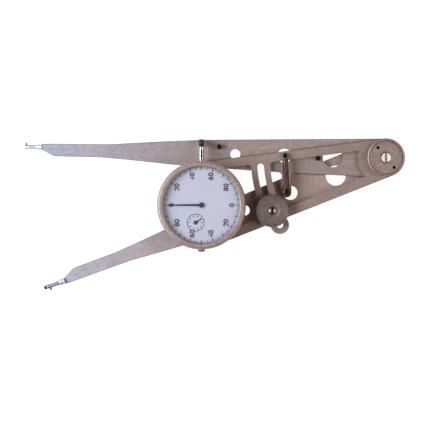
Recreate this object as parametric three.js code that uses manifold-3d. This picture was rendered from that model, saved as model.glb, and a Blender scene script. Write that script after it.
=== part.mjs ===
// Inside caliper gauge with a dial, lying on its back: millimetres, +Z towards the reader.
// The origin is the pivot axis, on the back face of the pivot.
// The two measuring arms point to -X. The upper arm is sprung and moves the dial gauge,
// and the lower arm is set by hand and clamped on the slotted quadrant of the frame.

import * as THREE from "three";
import { mergeVertices } from "three/addons/utils/BufferGeometryUtils.js";
import Module from "manifold-3d";

const wasm = await Module();
wasm.setup();

// Fits and cutting
const runningClearance = 0.05;
const fixedClearance = 0.03;
const faceClearance = 0.05;
const cutOverrun = 1.0;
const weldTolerance = 1e-4;

// Facets around round pieces
const wideSides = 48;
const middleSides = 32;
const smallSides = 16;
const tinySides = 8;
const filletSteps = 4;

// Pivot, from the back to the front
const flangeRadius = 11.7;
const flangeThickness = 1.2;
const axleRadius = 6.0;
const shimThickness = 0.3;
const shimRadius = 11.2;
const armThickness = 2.6;
const frameThickness = 2.6;
const nutRadius = 12.1;
const nutHeight = 5.0;
const nutChamfer = 0.8;
const nutSeatDepth = 2.4;
const nutRecessRadius = 3.6;
const nutRecessFlare = 0.5;
const spannerHoleRadius = 1.0;
const spannerHoleReach = 8.25;
const spannerHoleDepth = 2.0;
const spannerHoleAngle = 129;
const pivotScrewHeadRadius = 3.2;
const pivotScrewHeadHeight = 1.8;
const pivotScrewShankRadius = 1.5;
const pivotScrewShankLength = 6.0;
const pivotScrewSlotWidth = 1.6;
const pivotScrewSlotDepth = 0.8;

// Measuring arms, one a mirror twin of the other
const armReach = 223.5;
const armBossRadius = 12.4;
const armEndCutShare = 0.42;
const armOuterEdgeShares = [
  [0.529, 0.935],
  [0.575, 0.903],
  [0.668, 0.831],
  [0.762, 0.742],
  [0.808, 0.702],
  [0.948, 0.726],
  [1, 0.726],
];
const armInnerEdgeShares = [
  [0.971, 0.14],
  [0.956, 0.08],
  [0.878, 0.045],
  [0.831, 0.024],
  [0.762, -0.089],
  [0.692, -0.218],
  [0.599, -0.395],
  [0.436, -0.613],
  [0.3105, -0.758],
  [0.174, -0.895],
  [0.0604, -0.984],
];
// Lightening holes of an arm: distance from the pivot as a share of the slot's,
// then offset to the outer side and radius as shares of the arm's boss
const armHoleShares = [
  [1.2, 0.18, 0.29],
  [0.8087, 0.1, 0.395],
  [0.422, 0.025, 0.55],
];
const lowerArmAngle = 19.2;

// Contact tips of the arms
const ferruleRadius = 2.05;
const ferruleLength = 3.9;
const ferruleRise = 7.0;
const ferruleChamfer = 0.3;
const shankRadius = 1.35;
const shankLength = 7.2;
const shankNeckRadius = 1.05;
const shankNeckLength = 1.6;
const lowerShankOverhang = 3.0;
const contactRadius = 0.65;
const contactOutward = 1.4;
const contactInset = 0.8;

// Dial frame: a teardrop plate from the pivot to the dial
const frameAngle = 14.46;
const dialDistance = 123.7;
const frameBossRadius = 12.5;
const dialPlateMargin = 1.3;
const frameBarWidth = 5.6;
const bossWebRadius = 17.9;
const windowFillet = 2.2;
const slotReachShare = 0.6589;
const slotWidth = 4.9;
const slotRibWidth = 3.5;
const slotUpperAngle = 4.23;
const slotLowerAngle = 32.4;
const windowArcSteps = 6;
const quadrantSteps = 12;
const dialPlateHoleMargin = 0.6;

// Clamp that holds the lower arm on the quadrant
const studDrop = 8.38;
const studRadius = 2.3;
const studShoulderRadius = 2.9;
const studTopAboveFrame = 6.2;
const clampWasherRadius = 5.6;
const clampWasherThickness = 0.8;
const knobRadius = 10.7;
const knobHeight = 6.4;
const knobHubRadius = 6.6;
const knobHubHeight = 0.8;
const knobChamfer = 0.7;
const knobDishRadius = 8.6;
const knobDishDepth = 0.9;
const knobBossRadius = 4.6;
const knobRecessRadius = 2.9;
const knobScrewHeadRadius = 2.6;
const knobScrewHeadHeight = 1.1;
const knobScrewShankRadius = 0.9;
const knobScrewShankLength = 3.5;
const knobScrewSlotWidth = 0.7;
const knobScrewSlotDepth = 0.5;

// Notch of the upper arm, behind the top end of the slot
const notchHalfWidth = 4.0;
const notchTop = 1.4;

// Return spring between the frame and the lug of the upper arm
const springPinRadius = 1.0;
const springPinHeadRadius = 1.5;
const springPinHeadHeight = 0.5;
const springPinHeadGap = 0.4;
const springAboveFrame = 2.1;
const framePinFromSlot = 16.0;
const framePinInset = 3.1;
const lugWidth = 6.2;
const lugFromSlot = 17.1;
const lugDrop = 25.9;
const lugRootShare = 0.74;
const lugFillet = 2.6;
const lugPinDrop = 22.4;
const springWireRadius = 0.25;
const springCoilRadius = 1.75;
const springLeadLength = 3.3;
const springTurns = 16;
const springStepsPerTurn = 8;
const springSides = 5;

// Stop pins of the upper arm
const stopPinRadius = 1.6;
const stopPinAboveFrame = 1.0;
const restPinReachShare = 0.541;
const restPinGap = 0.1;
const travelPinReachShare = 1.3288;
const travelPinGap = 6.8;

// Anvil of the upper arm that pushes the plunger
const anvilRise = 9.5;
const anvilRadius = 2.0;
const anvilTailRadius = 1.0;
const anvilGap = 0.1;
const anvilAbovePlunger = 2.3;
const anvilCollarWidth = 5.8;
const anvilCollarDepth = 5.0;
const anvilCollarHeight = 1.6;

// Dial gauge case
const caseRadius = 26.5;
const caseWall = 2.1;
const caseFloor = 1.6;
const caseShoulderHeight = 8.8;
const caseHeight = 11.3;
const caseShoulderWidth = 0.9;
const backCoverInset = 6.0;
const backCoverLap = 4.1;
const backCoverThickness = 1.2;
const backCoverChamfer = 0.3;
const backScrewInset = 2.4;
const backScrewHeadRadius = 1.2;
const backScrewHeadHeight = 0.6;
const backScrewShankRadius = 0.6;
const mountScrewInset = 5.9;
const mountScrewHeadRadius = 2.3;
const mountScrewHeadHeight = 1.3;
const mountScrewShankRadius = 1.1;
const screwEndClearance = 0.3;
const screwSlotWidth = 0.5;
const screwSlotDepth = 0.35;
const screwCount = 3;
const mountScrewAngle = 90;
const backScrewAngle = 30;

// Movement plates and pillars inside the case
const plateClearance = 2.0;
const backPlateThickness = 0.8;
const middlePlateBase = 7.4;
const middlePlateThickness = 0.6;
const frontPlateBase = 9.5;
const frontPlateThickness = 0.8;
const pillarRadius = 1.4;
const pillarInset = 2.4;
const pillarAngles = [45, 160, 325];

// Plunger with its rack, and its guides
const plungerRadius = 1.5;
const plungerHeight = 4.9;
const plungerTipLength = 1.8;
const plungerTipRadius = 1.4;
const upperBushOutward = 1.9;
const upperBushInward = 3.4;
const lowerBushLength = 6.0;
const bushRadius = 2.3;
const capRadius = 2.4;
const capLength = 3.7;
const capWall = 0.65;
const plungerTravel = 7.5;

// Gear train: rack, counter arbor with its gear, centre pinion
const rackOffset = 2.137;
const gearCaseClearance = 1.46;
const rackPinionRadius = 1.633;
const rackPinionTeeth = 10;
const rackPinionWidth = 1.8;
const rackWidth = 1.4;
const gearTeeth = 60;
const gearPinionTeeth = 6;
const gearThickness = 0.6;
const gearRise = 0.4;
const gearPinionWidth = 0.8;
const toothHeight = 0.2;
const toothRoot = 0.32;
const toothTipShare = 0.08;
const toothRootShare = 0.22;
const counterArborRadius = 0.6;
const centerArborRadius = 0.5;
const arborEndClearance = 0.15;

// Dial face, hands, crystal and bezel
const faceThickness = 0.6;
const scaleWidth = 7.3;
const faceGap = 0.15;
const centerPlateFootMargin = 1.2;
const centerPlateFootWidth = 1.2;
const scaleRingClearance = 0.1;
const counterHandAboveFace = 0.3;
const handThickness = 0.2;
const handHoleClearance = 0.4;
const counterHandLength = 4.2;
const counterHandTail = 1.4;
const counterHandWidth = 0.6;
const counterHandHubRadius = 1.3;
const counterHandAngle = 33;
const pointerAboveFace = 1.0;
const pointerTipGap = 3.2;
const pointerTail = 1.2;
const pointerWidth = 0.9;
const pointerTipShare = 0.35;
const pointerHubRadius = 1.75;
const pointerCapRadius = 1.5;
const pointerCapHeight = 0.5;
const bezelOverhang = 2.25;
const bezelBase = 9.1;
const bezelHeight = 7.2;
const bezelTopInset = 0.85;
const bezelCrownInset = 2.45;
const bezelLipEdge = 0.3;
const bezelTopDrop = 1.5;
const bezelEdgeDrop = 2.6;
const bezelRimWidth = 3.95;
const bezelLip = 1.1;
const bezelLipFlare = 0.6;
const bezelSkirtClearance = 0.15;
const crystalThickness = 1.0;
const crystalSeat = 0.6;

// Places along the arms that follow the slot
const slotReach = dialDistance * slotReachShare;
const framePinReach = slotReach - framePinFromSlot;
const lugReach = slotReach - lugFromSlot;
const restPinReach = slotReach * restPinReachShare;
const travelPinReach = slotReach * travelPinReachShare;

// Radii that follow the case
const dialPlateRadius = caseRadius + dialPlateMargin;
const caseNeckRadius = caseRadius - caseShoulderWidth;
const mountScrewReach = caseRadius - mountScrewInset;
const backCoverRadius = mountScrewReach - backCoverInset;
const backScrewReach = backCoverRadius - backScrewInset;
const caseOpeningRadius = backCoverRadius - backCoverLap;
const dialPlateHoleRadius = backCoverRadius + dialPlateHoleMargin;
const plateRadius = caseRadius - caseWall - plateClearance;
const pillarReach = plateRadius - pillarInset;
const bezelRadius = caseRadius + bezelOverhang;
const bezelTopRadius = bezelRadius - bezelTopInset;
const bezelCrownRadius = bezelRadius - bezelCrownInset;
const bezelWindowRadius = bezelRadius - bezelRimWidth;
const crystalRadius = bezelWindowRadius + crystalSeat;
const scaleRingRadius = crystalRadius - scaleRingClearance;
const centerPlateRadius = bezelWindowRadius - scaleWidth;
const pointerLength = bezelWindowRadius - pointerTipGap;

// The gear train fills the case: the counter gear clears the wall, and the counter arbor the foot
const gearShare = gearTeeth / (gearTeeth + gearPinionTeeth);
const gearReach = caseRadius - caseWall - toothHeight - gearCaseClearance;
const gearDistance = gearReach / (1 + gearShare);
const counterOffsetX = -rackPinionRadius - rackOffset;
const counterOffsetY = -Math.sqrt(gearDistance * gearDistance - counterOffsetX * counterOffsetX);
const centerPlateFootInner = gearDistance + counterArborRadius + centerPlateFootMargin;
const centerPlateFootOuter = centerPlateFootInner + centerPlateFootWidth;

// Levels of the pivot stack
const layerGap = shimThickness + 2 * faceClearance;
const lowerArmZ = flangeThickness + layerGap;
const upperArmZ = lowerArmZ + armThickness + layerGap;
const frameZ = upperArmZ + armThickness + layerGap;
const frameTopZ = frameZ + frameThickness;
const nutZ = frameTopZ + layerGap;
const axleTopZ = nutZ + nutSeatDepth;
const tipZ = upperArmZ - layerGap / 2;
const springZ = frameTopZ + springAboveFrame;
const plungerZ = frameTopZ + plungerHeight;

// Levels of the dial gauge
const caseTopZ = frameTopZ + caseHeight;
const faceZ = caseTopZ + faceClearance;
const faceTopZ = faceZ + faceThickness;
const backPlateZ = frameTopZ + caseFloor;
const backPlateTopZ = backPlateZ + backPlateThickness;
const middlePlateZ = frameTopZ + middlePlateBase;
const middlePlateTopZ = middlePlateZ + middlePlateThickness;
const gearZ = middlePlateTopZ + gearRise;
const frontPlateZ = frameTopZ + frontPlateBase;
const frontPlateTopZ = frontPlateZ + frontPlateThickness;
const bezelZ = frameTopZ + bezelBase;
const bezelTopZ = bezelZ + bezelHeight;
const crystalZ = bezelTopZ - bezelLip - crystalThickness;

const radians = THREE.MathUtils.degToRad;
const dialX = -dialDistance * Math.cos(radians(frameAngle));
const dialY = -dialDistance * Math.sin(radians(frameAngle));

// Pins that stand on the upper bar of the frame or bear on its edges
const framePinRise = barRise(framePinReach, frameBossRadius - framePinInset);
const innerEdge = frameBossRadius - frameBarWidth;
const restPinRise = barRise(restPinReach, innerEdge - stopPinRadius - restPinGap);
const travelPinRise = barRise(travelPinReach, frameBossRadius + stopPinRadius + travelPinGap);

// Finishes
function metal(color, roughness, metalness = 1) {
  return new THREE.MeshStandardMaterial({ color, roughness, metalness });
}
const armSteel = metal(0xaaa29f, 0.42);
const frameSteel = metal(0x9c8d86, 0.4);
const bezelSteel = metal(0xaca09c, 0.38);
const darkSteel = metal(0x6f5f58, 0.45);
const blackSteel = metal(0x1d1a1a, 0.5, 0.6);
const brightSteel = metal(0xd8dae2, 0.2);
const springWire = metal(0x6a4b3c, 0.45);
const brass = metal(0xb4925a, 0.35);
const dialWhite = metal(0xdde2ea, 0.6, 0);
const blackPaint = metal(0x121214, 0.5, 0);
const clearGlass = new THREE.MeshStandardMaterial({
  color: 0xf4f8fa,
  roughness: 0.05,
  metalness: 0,
  transparent: true,
  opacity: 0.2,
});

// A closed three.js geometry as a solid
function solidOf(geometry) {
  const bare = geometry.clone();
  bare.deleteAttribute("normal");
  bare.deleteAttribute("uv");
  const merged = mergeVertices(bare, weldTolerance);
  return new wasm.Manifold(
    new wasm.Mesh({
      numProp: 3,
      vertProperties: merged.attributes.position.array,
      triVerts: new Uint32Array(merged.index.array),
    }),
  );
}

function geometryOf(solid) {
  const mesh = solid.getMesh();
  const geometry = new THREE.BufferGeometry();
  geometry.setAttribute("position", new THREE.BufferAttribute(mesh.vertProperties, 3));
  geometry.setIndex(new THREE.BufferAttribute(mesh.triVerts, 1));
  return geometry;
}

function cut(base, ...tools) {
  const left = tools.reduce((rest, tool) => rest.subtract(solidOf(tool)), solidOf(base));
  return geometryOf(left);
}

function join(base, ...others) {
  const whole = others.reduce((sum, other) => sum.add(solidOf(other)), solidOf(base));
  return geometryOf(whole);
}

// Points of a circle or of an arc, in degrees
function circle(radius, sides, x = 0, y = 0, turn = 0) {
  return arc(radius, turn, turn + 360, sides, x, y).slice(0, -1);
}

function arc(radius, from, to, steps, x = 0, y = 0) {
  const points = [];
  for (let i = 0; i <= steps; i++) {
    const angle = radians(from + ((to - from) * i) / steps);
    points.push(new THREE.Vector2(x + radius * Math.cos(angle), y + radius * Math.sin(angle)));
  }
  return points;
}

// The radius of a faceted bore that a round pin of this radius turns in
function boreRadius(radius, sides, clearance = runningClearance) {
  return (radius + clearance) / Math.cos(Math.PI / sides);
}

// A flat plate from z to z + thickness, with holes
function plate(outline, z, thickness, holes = []) {
  const shape = new THREE.Shape(outline);
  holes.forEach((hole) => shape.holes.push(new THREE.Path(hole)));
  const geometry = new THREE.ExtrudeGeometry(shape, { depth: thickness, bevelEnabled: false });
  return geometry.translate(0, 0, z);
}

function rod(radius, z, length, sides, x = 0, y = 0) {
  return plate(circle(radius, sides, x, y), z, length);
}

function ring(outer, inner, z, height, sides) {
  return plate(circle(outer, sides), z, height, [circle(inner, sides)]);
}

function block(width, depth, height, x, y, z) {
  const geometry = new THREE.BoxGeometry(width, depth, height);
  return geometry.translate(x, y, z + height / 2);
}

// A turned piece about the Z axis: the profile lists radius and height, bottom to top outside
function turned(profile, sides) {
  const points = profile.map(([radius, z]) => new THREE.Vector2(radius, z));
  return new THREE.LatheGeometry(points, sides).rotateX(Math.PI / 2);
}

// The same piece lying along Y, with its foot at y = 0
function turnedAlongY(profile, sides) {
  return turned(profile, sides).rotateX(-Math.PI / 2);
}

// A polygon with a round of its own at each corner that names a radius
function filleted(corners) {
  const outline = [];
  corners.forEach((corner, i) => {
    const point = corner.at;
    if (!corner.fillet) {
      outline.push(point);
      return;
    }
    const toward = (k) => corners[(i + k) % corners.length].at.clone().sub(point).normalize();
    const before = toward(corners.length - 1);
    const after = toward(1);
    const half = Math.acos(before.dot(after)) / 2;
    const reach = corner.fillet / Math.tan(half);
    const start = point.clone().addScaledVector(before, reach);
    const end = point.clone().addScaledVector(after, reach);
    for (let k = 0; k <= filletSteps; k++) {
      const t = k / filletSteps;
      const bend = start.clone().multiplyScalar((1 - t) * (1 - t));
      bend.addScaledVector(point, 2 * t * (1 - t));
      bend.addScaledVector(end, t * t);
      outline.push(bend);
    }
  });
  return outline;
}

// A tube of round wire along a list of points, closed at both ends
function wireAlong(path, radius, sides) {
  const positions = [];
  const index = [];
  const tangentAt = (i) => {
    const next = path[Math.min(i + 1, path.length - 1)];
    return next.clone().sub(path[Math.max(i - 1, 0)]).normalize();
  };
  let tangent = tangentAt(0);
  const side = new THREE.Vector3(0, 0, 1).cross(tangent).normalize();
  path.forEach((point, i) => {
    const next = tangentAt(i);
    side.applyQuaternion(new THREE.Quaternion().setFromUnitVectors(tangent, next));
    tangent = next;
    for (let k = 0; k < sides; k++) {
      const spoke = side.clone().applyAxisAngle(tangent, (2 * Math.PI * k) / sides);
      positions.push(...point.clone().addScaledVector(spoke, radius).toArray());
    }
  });
  const last = (path.length - 1) * sides;
  for (let i = 0; i < last; i += sides) {
    for (let k = 0; k < sides; k++) {
      const a = i + k;
      const b = i + ((k + 1) % sides);
      index.push(a, b, b + sides, a, b + sides, a + sides);
    }
  }
  for (let k = 1; k < sides - 1; k++) {
    index.push(0, k + 1, k, last, last + k, last + k + 1);
  }
  const geometry = new THREE.BufferGeometry();
  geometry.setAttribute("position", new THREE.Float32BufferAttribute(positions, 3));
  geometry.setIndex(index);
  return geometry;
}

// A slotted screw standing on z, with its head up or down along Z
function screw(headRadius, headHeight, shankRadius, shankLength, slotWidth, slotDepth, sides, headUp) {
  const profile = [
    [0, -shankLength],
    [shankRadius, -shankLength],
    [shankRadius, 0],
    [headRadius, 0],
    [headRadius, headHeight - slotDepth / 2],
    [headRadius - slotDepth / 2, headHeight],
    [0, headHeight],
  ];
  const slotLength = 2 * (headRadius + cutOverrun);
  const slot = block(slotWidth, slotLength, slotDepth + cutOverrun, 0, 0, headHeight - slotDepth);
  const whole = cut(turned(profile, sides), slot);
  return headUp ? whole : whole.rotateX(Math.PI);
}

// A named piece in a group
function add(group, name, geometry, material) {
  const mesh = new THREE.Mesh(geometry, material);
  mesh.name = name;
  group.add(mesh);
  return mesh;
}

// Outline of an arm. Side is 1 for the upper arm, and -1 for its mirror twin.
function armOutline(side) {
  const edge = (shares) =>
    shares.map(([along, across]) => new THREE.Vector2(-along * armReach, side * across * armBossRadius));
  const boss = arc(armBossRadius, -90, 90, middleSides / 2);
  boss.forEach((point) => point.setY(side * point.y));
  const endCut = new THREE.Vector2(-armReach, side * armEndCutShare * armBossRadius);
  return [...boss, ...edge(armOuterEdgeShares), endCut, ...edge(armInnerEdgeShares)];
}

function armHoles(side) {
  const bore = circle(boreRadius(axleRadius, middleSides), middleSides);
  const openings = armHoleShares.map(([along, across, size]) =>
    circle(size * armBossRadius, smallSides, -along * slotReach, side * across * armBossRadius),
  );
  return [bore, ...openings];
}

// The lug that hangs from the upper arm and carries the foot of the spring
function springLug() {
  const half = lugWidth / 2;
  const spread = half + 2 * lugFillet;
  const rootY = -lugRootShare * armBossRadius;
  const point = (x, y) => new THREE.Vector2(x - lugReach, y);
  const corners = [
    { at: point(spread, rootY + lugFillet) },
    { at: point(-spread, rootY + lugFillet) },
    { at: point(-spread, rootY) },
    { at: point(-half, rootY), fillet: lugFillet },
    ...arc(half, 180, 360, smallSides / 2).map((p) => ({ at: point(p.x, p.y + half - lugDrop) })),
    { at: point(half, rootY), fillet: lugFillet },
    { at: point(spread, rootY) },
  ];
  return plate(filleted(corners), upperArmZ, armThickness);
}

// The notch that lets the clamp stud pass into the upper arm when the arms close
function studNotch() {
  const x = -slotReach * Math.cos(radians(slotUpperAngle));
  const top = arc(notchHalfWidth, 0, 180, smallSides / 2, x, notchTop - notchHalfWidth);
  const mouth = -armBossRadius - cutOverrun;
  const outline = [new THREE.Vector2(x + notchHalfWidth, mouth), ...top];
  outline.push(new THREE.Vector2(x - notchHalfWidth, mouth));
  return plate(outline, upperArmZ - cutOverrun, armThickness + 2 * cutOverrun);
}

// A hole right through a plate for a fixed pin
function pinHole(radius, sides, x, y, z, thickness) {
  const bore = boreRadius(radius, sides, fixedClearance);
  return rod(bore, z - cutOverrun, thickness + 2 * cutOverrun, sides, x, y);
}

function upperArm() {
  const blade = plate(armOutline(1), upperArmZ, armThickness, armHoles(1));
  const hole = (radius, sides, x, y) => pinHole(radius, sides, x, y, upperArmZ, armThickness);
  return cut(
    join(blade, springLug()),
    studNotch(),
    hole(stopPinRadius, smallSides, -restPinReach, restPinRise),
    hole(stopPinRadius, smallSides, -travelPinReach, travelPinRise),
    hole(springPinRadius, tinySides, -lugReach, -lugPinDrop),
    hole(anvilTailRadius, smallSides, dialX, anvilRise),
  );
}

function lowerArm() {
  const blade = plate(armOutline(-1), lowerArmZ, armThickness, armHoles(-1));
  const [x, y] = studPlace();
  return cut(blade, pinHole(studRadius, smallSides, x, y, lowerArmZ, armThickness));
}

// The clamp stud in the axes of the lower arm
function studPlace() {
  return [-Math.sqrt(slotReach * slotReach - studDrop * studDrop), -studDrop];
}

// Half the angle between the two outer edges of the frame
function frameHalfAngle() {
  return THREE.MathUtils.radToDeg(Math.asin((dialPlateRadius - frameBossRadius) / dialDistance));
}

// The direction square to the upper bar, in the frame's own axes
function barNormalAngle() {
  return 90 - frameHalfAngle();
}

// The height above the X axis, at this distance along it, of a point that lies
// this far from the pivot square to the upper bar
function barRise(reach, offset) {
  const normal = radians(barNormalAngle() + frameAngle);
  return (offset + reach * Math.cos(normal)) / Math.sin(normal);
}

// A point on the inner edge of a frame bar, at a distance from the pivot. Side 1 is the upper bar.
function barPoint(side, reach) {
  const normal = radians(side * barNormalAngle());
  const along = Math.sqrt(reach * reach - innerEdge * innerEdge);
  const x = innerEdge * Math.cos(normal) - along * Math.abs(Math.sin(normal));
  const y = innerEdge * Math.sin(normal) + side * along * Math.cos(normal);
  return new THREE.Vector2(x, y);
}

// The distance from the pivot at which the inner edge of a bar meets the dial plate
function barReachAtDial() {
  const half = radians(frameHalfAngle());
  const offset = dialPlateRadius - frameBarWidth;
  const back = Math.sqrt(dialPlateRadius * dialPlateRadius - offset * offset);
  const along = dialDistance * Math.cos(half) - back;
  return Math.hypot(along, innerEdge);
}

function angleOf(point, centerX = 0) {
  return THREE.MathUtils.radToDeg(Math.atan2(point.y, point.x - centerX));
}

// An arc between two points that lie at one distance from a centre on the X axis
function arcBetween(from, to, steps, centerX = 0) {
  const start = angleOf(from, centerX);
  const sweep = THREE.MathUtils.euclideanModulo(angleOf(to, centerX) - start + 180, 360) - 180;
  const radius = Math.hypot(from.x - centerX, from.y);
  return arc(radius, start, start + sweep, steps, centerX, 0);
}

// A frame window with two straight sides along the bars and two round ends
function frameWindow(nearReach, farReach, farCenterX, nearFillet, farFillet) {
  const nearUpper = barPoint(1, nearReach);
  const nearLower = barPoint(-1, nearReach);
  const farUpper = barPoint(1, farReach);
  const farLower = barPoint(-1, farReach);
  const inner = (points) => points.slice(1, -1).map((at) => ({ at }));
  return filleted([
    { at: nearUpper, fillet: nearFillet },
    { at: farUpper, fillet: farFillet },
    ...inner(arcBetween(farUpper, farLower, windowArcSteps, farCenterX)),
    { at: farLower, fillet: farFillet },
    { at: nearLower, fillet: nearFillet },
    ...inner(arcBetween(nearLower, nearUpper, windowArcSteps)),
  ]);
}

// The curved band of the quadrant, between two distances from the pivot
function quadrantBand(halfWidth, fromAngle, toAngle, z, height) {
  const start = 180 - frameAngle;
  const outer = arc(slotReach + halfWidth, start + fromAngle, start + toAngle, quadrantSteps);
  const inner = arc(slotReach - halfWidth, start + toAngle, start + fromAngle, quadrantSteps);
  return plate([...outer, ...inner], z, height);
}

function quadrantEnd(halfWidth, angle, z, height) {
  const end = radians(180 - frameAngle + angle);
  return rod(halfWidth, z, height, smallSides, slotReach * Math.cos(end), slotReach * Math.sin(end));
}

function dialFrame() {
  const normal = barNormalAngle();
  const outline = [
    ...arc(frameBossRadius, -normal, normal, middleSides / 2),
    ...arc(dialPlateRadius, normal, 360 - normal, middleSides, -dialDistance),
  ];
  const slotHalf = slotWidth / 2;
  const bandHalf = slotHalf + slotRibWidth;
  const nearWindow = frameWindow(bossWebRadius, slotReach - bandHalf, 0, 0, windowFillet);
  const farWindow = frameWindow(slotReach + bandHalf, barReachAtDial(), -dialDistance, windowFillet, 0);
  const body = plate(outline, frameZ, frameThickness, [nearWindow, farWindow]);
  const middle = (slotUpperAngle + slotLowerAngle) / 2;
  const tail = quadrantBand(bandHalf, middle, slotLowerAngle, frameZ, frameThickness);
  const tailEnd = quadrantEnd(bandHalf, slotLowerAngle, frameZ, frameThickness);
  const under = frameZ - cutOverrun;
  const through = frameThickness + 2 * cutOverrun;
  const whole = cut(
    join(body, tail, tailEnd),
    quadrantBand(slotHalf, slotUpperAngle, slotLowerAngle, under, through),
    quadrantEnd(slotHalf, slotUpperAngle, under, through),
    quadrantEnd(slotHalf, slotLowerAngle, under, through),
    rod(axleRadius + fixedClearance, under, through, middleSides),
  ).rotateZ(radians(frameAngle));
  return cut(
    whole,
    pinHole(springPinRadius, tinySides, -framePinReach, framePinRise, frameZ, frameThickness),
    rod(dialPlateHoleRadius, under, through, middleSides, dialX, dialY),
    ...screwPlaces(mountScrewReach, mountScrewAngle).flatMap(([x, y]) => [
      rod(mountScrewHeadRadius + runningClearance, under, cutOverrun + mountScrewHeadHeight,
        smallSides, dialX + x, dialY + y),
      pinHole(mountScrewShankRadius, smallSides, dialX + x, dialY + y, frameZ, frameThickness),
    ]),
  );
}

// Places of a ring of screws about the dial axis
function screwPlaces(reach, firstAngle) {
  return circle(reach, screwCount, 0, 0, firstAngle).map((p) => [p.x, p.y]);
}

function pivotAxle() {
  const body = turned(
    [
      [0, 0],
      [flangeRadius, 0],
      [flangeRadius, flangeThickness],
      [axleRadius, flangeThickness],
      [axleRadius, axleTopZ],
      [0, axleTopZ],
    ],
    middleSides,
  );
  const depth = pivotScrewShankLength + screwEndClearance;
  const hole = boreRadius(pivotScrewShankRadius, smallSides, fixedClearance);
  return cut(body, rod(hole, axleTopZ - depth, depth + cutOverrun, smallSides));
}

function pivotNut() {
  const top = nutZ + nutHeight;
  const seat = axleRadius + fixedClearance;
  const body = turned(
    [
      [seat, nutZ],
      [nutRadius, nutZ],
      [nutRadius, top - nutChamfer],
      [nutRadius - nutChamfer, top],
      [nutRecessRadius + nutRecessFlare, top],
      [nutRecessRadius, top - nutRecessFlare],
      [nutRecessRadius, axleTopZ],
      [seat, axleTopZ],
      [seat, nutZ],
    ],
    middleSides,
  );
  const holes = circle(spannerHoleReach, 2, 0, 0, spannerHoleAngle).map((p) =>
    rod(spannerHoleRadius, top - spannerHoleDepth, spannerHoleDepth + cutOverrun, tinySides, p.x, p.y),
  );
  return cut(body, ...holes);
}

function pivotShim(z) {
  const bore = boreRadius(axleRadius, middleSides);
  return ring(shimRadius, bore, z + faceClearance, shimThickness, middleSides);
}

// A headed pin that holds one end of the spring
function springPin(footZ) {
  const neck = springZ + springWireRadius + springPinHeadGap;
  return turned(
    [
      [0, footZ],
      [springPinRadius, footZ],
      [springPinRadius, neck],
      [springPinHeadRadius, neck],
      [springPinHeadRadius, neck + springPinHeadHeight],
      [0, neck + springPinHeadHeight],
    ],
    tinySides,
  );
}

// The spring's wire from the hook on the frame pin, through the turns, to the hook on the lug pin
function springPath() {
  const start = new THREE.Vector3(-framePinReach, framePinRise, springZ);
  const finish = new THREE.Vector3(-lugReach, -lugPinDrop, springZ);
  const length = start.distanceTo(finish);
  const ahead = finish.clone().sub(start).normalize();
  const up = new THREE.Vector3(0, 0, 1);
  const across = up.clone().cross(ahead);
  const place = (along, beside, above) => {
    const point = start.clone().addScaledVector(ahead, along);
    return point.addScaledVector(across, beside).addScaledVector(up, above);
  };
  const coilLength = length - 2 * springLeadLength;
  const wire = 2 * springWireRadius;
  const hook = (centre, direction) =>
    arc(springCoilRadius, -90, -270, springStepsPerTurn).map((p) =>
      place(centre + direction * p.x, p.y, 0),
    );
  const steps = springTurns * springStepsPerTurn;
  const turns = [];
  for (let i = 1; i < steps; i++) {
    const angle = (2 * Math.PI * i) / springStepsPerTurn;
    const along = springLeadLength + (coilLength * i) / steps;
    turns.push(place(along, springCoilRadius * Math.cos(angle), springCoilRadius * Math.sin(angle)));
  }
  return [
    place(wire, -springCoilRadius, 0),
    ...hook(0, 1),
    place(springLeadLength - wire, springCoilRadius, 0),
    ...turns,
    place(length - springLeadLength + wire, springCoilRadius, 0),
    ...hook(length, -1).reverse(),
    place(length - wire, -springCoilRadius, 0),
  ];
}

// The least gap between two stretches of the wire that aren't neighbours along it
function leastWireGap(path) {
  const apart = springStepsPerTurn / 2;
  let least = Infinity;
  path.forEach((point, i) => {
    for (let k = i + apart; k < path.length; k++) {
      least = Math.min(least, point.distanceTo(path[k]) - 2 * springWireRadius);
    }
  });
  return least;
}

function returnSpring() {
  const path = springPath();
  console.log("return spring: least gap to itself " + leastWireGap(path).toFixed(2) + " mm");
  return wireAlong(path, springWireRadius, springSides);
}

// Tip pieces of an arm, which lie along the arm at the height between the two arms
function alongArm(profile, sides, side) {
  const piece = turned(profile, sides).rotateY(-Math.PI / 2);
  return piece.translate(-armReach, side * ferruleRise, tipZ);
}

function tipFerrule(side) {
  const bore = shankRadius + fixedClearance;
  const edge = ferruleRadius - ferruleChamfer;
  const profile = [
    [bore, 0],
    [edge, 0],
    [ferruleRadius, ferruleChamfer],
    [ferruleRadius, ferruleLength - ferruleChamfer],
    [edge, ferruleLength],
    [bore, ferruleLength],
    [bore, 0],
  ];
  return alongArm(profile, smallSides, side);
}

// The lower shank runs on past its contact pin
function tipShank(side) {
  const seat = ferruleLength + shankLength;
  const end = side < 0 ? seat + lowerShankOverhang : seat;
  const profile = [
    [0, 0],
    [shankRadius, 0],
    [shankRadius, end - shankNeckLength],
    [shankNeckRadius, end - shankNeckLength + shankRadius - shankNeckRadius],
    [shankNeckRadius, end],
    [0, end],
  ];
  const reach = cutOverrun + shankRadius;
  const hole = rodAlongY(contactRadius + fixedClearance, -reach, reach, tinySides);
  hole.translate(-armReach - seat + contactInset, side * ferruleRise, tipZ);
  return cut(alongArm(profile, smallSides, side), hole);
}

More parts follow.
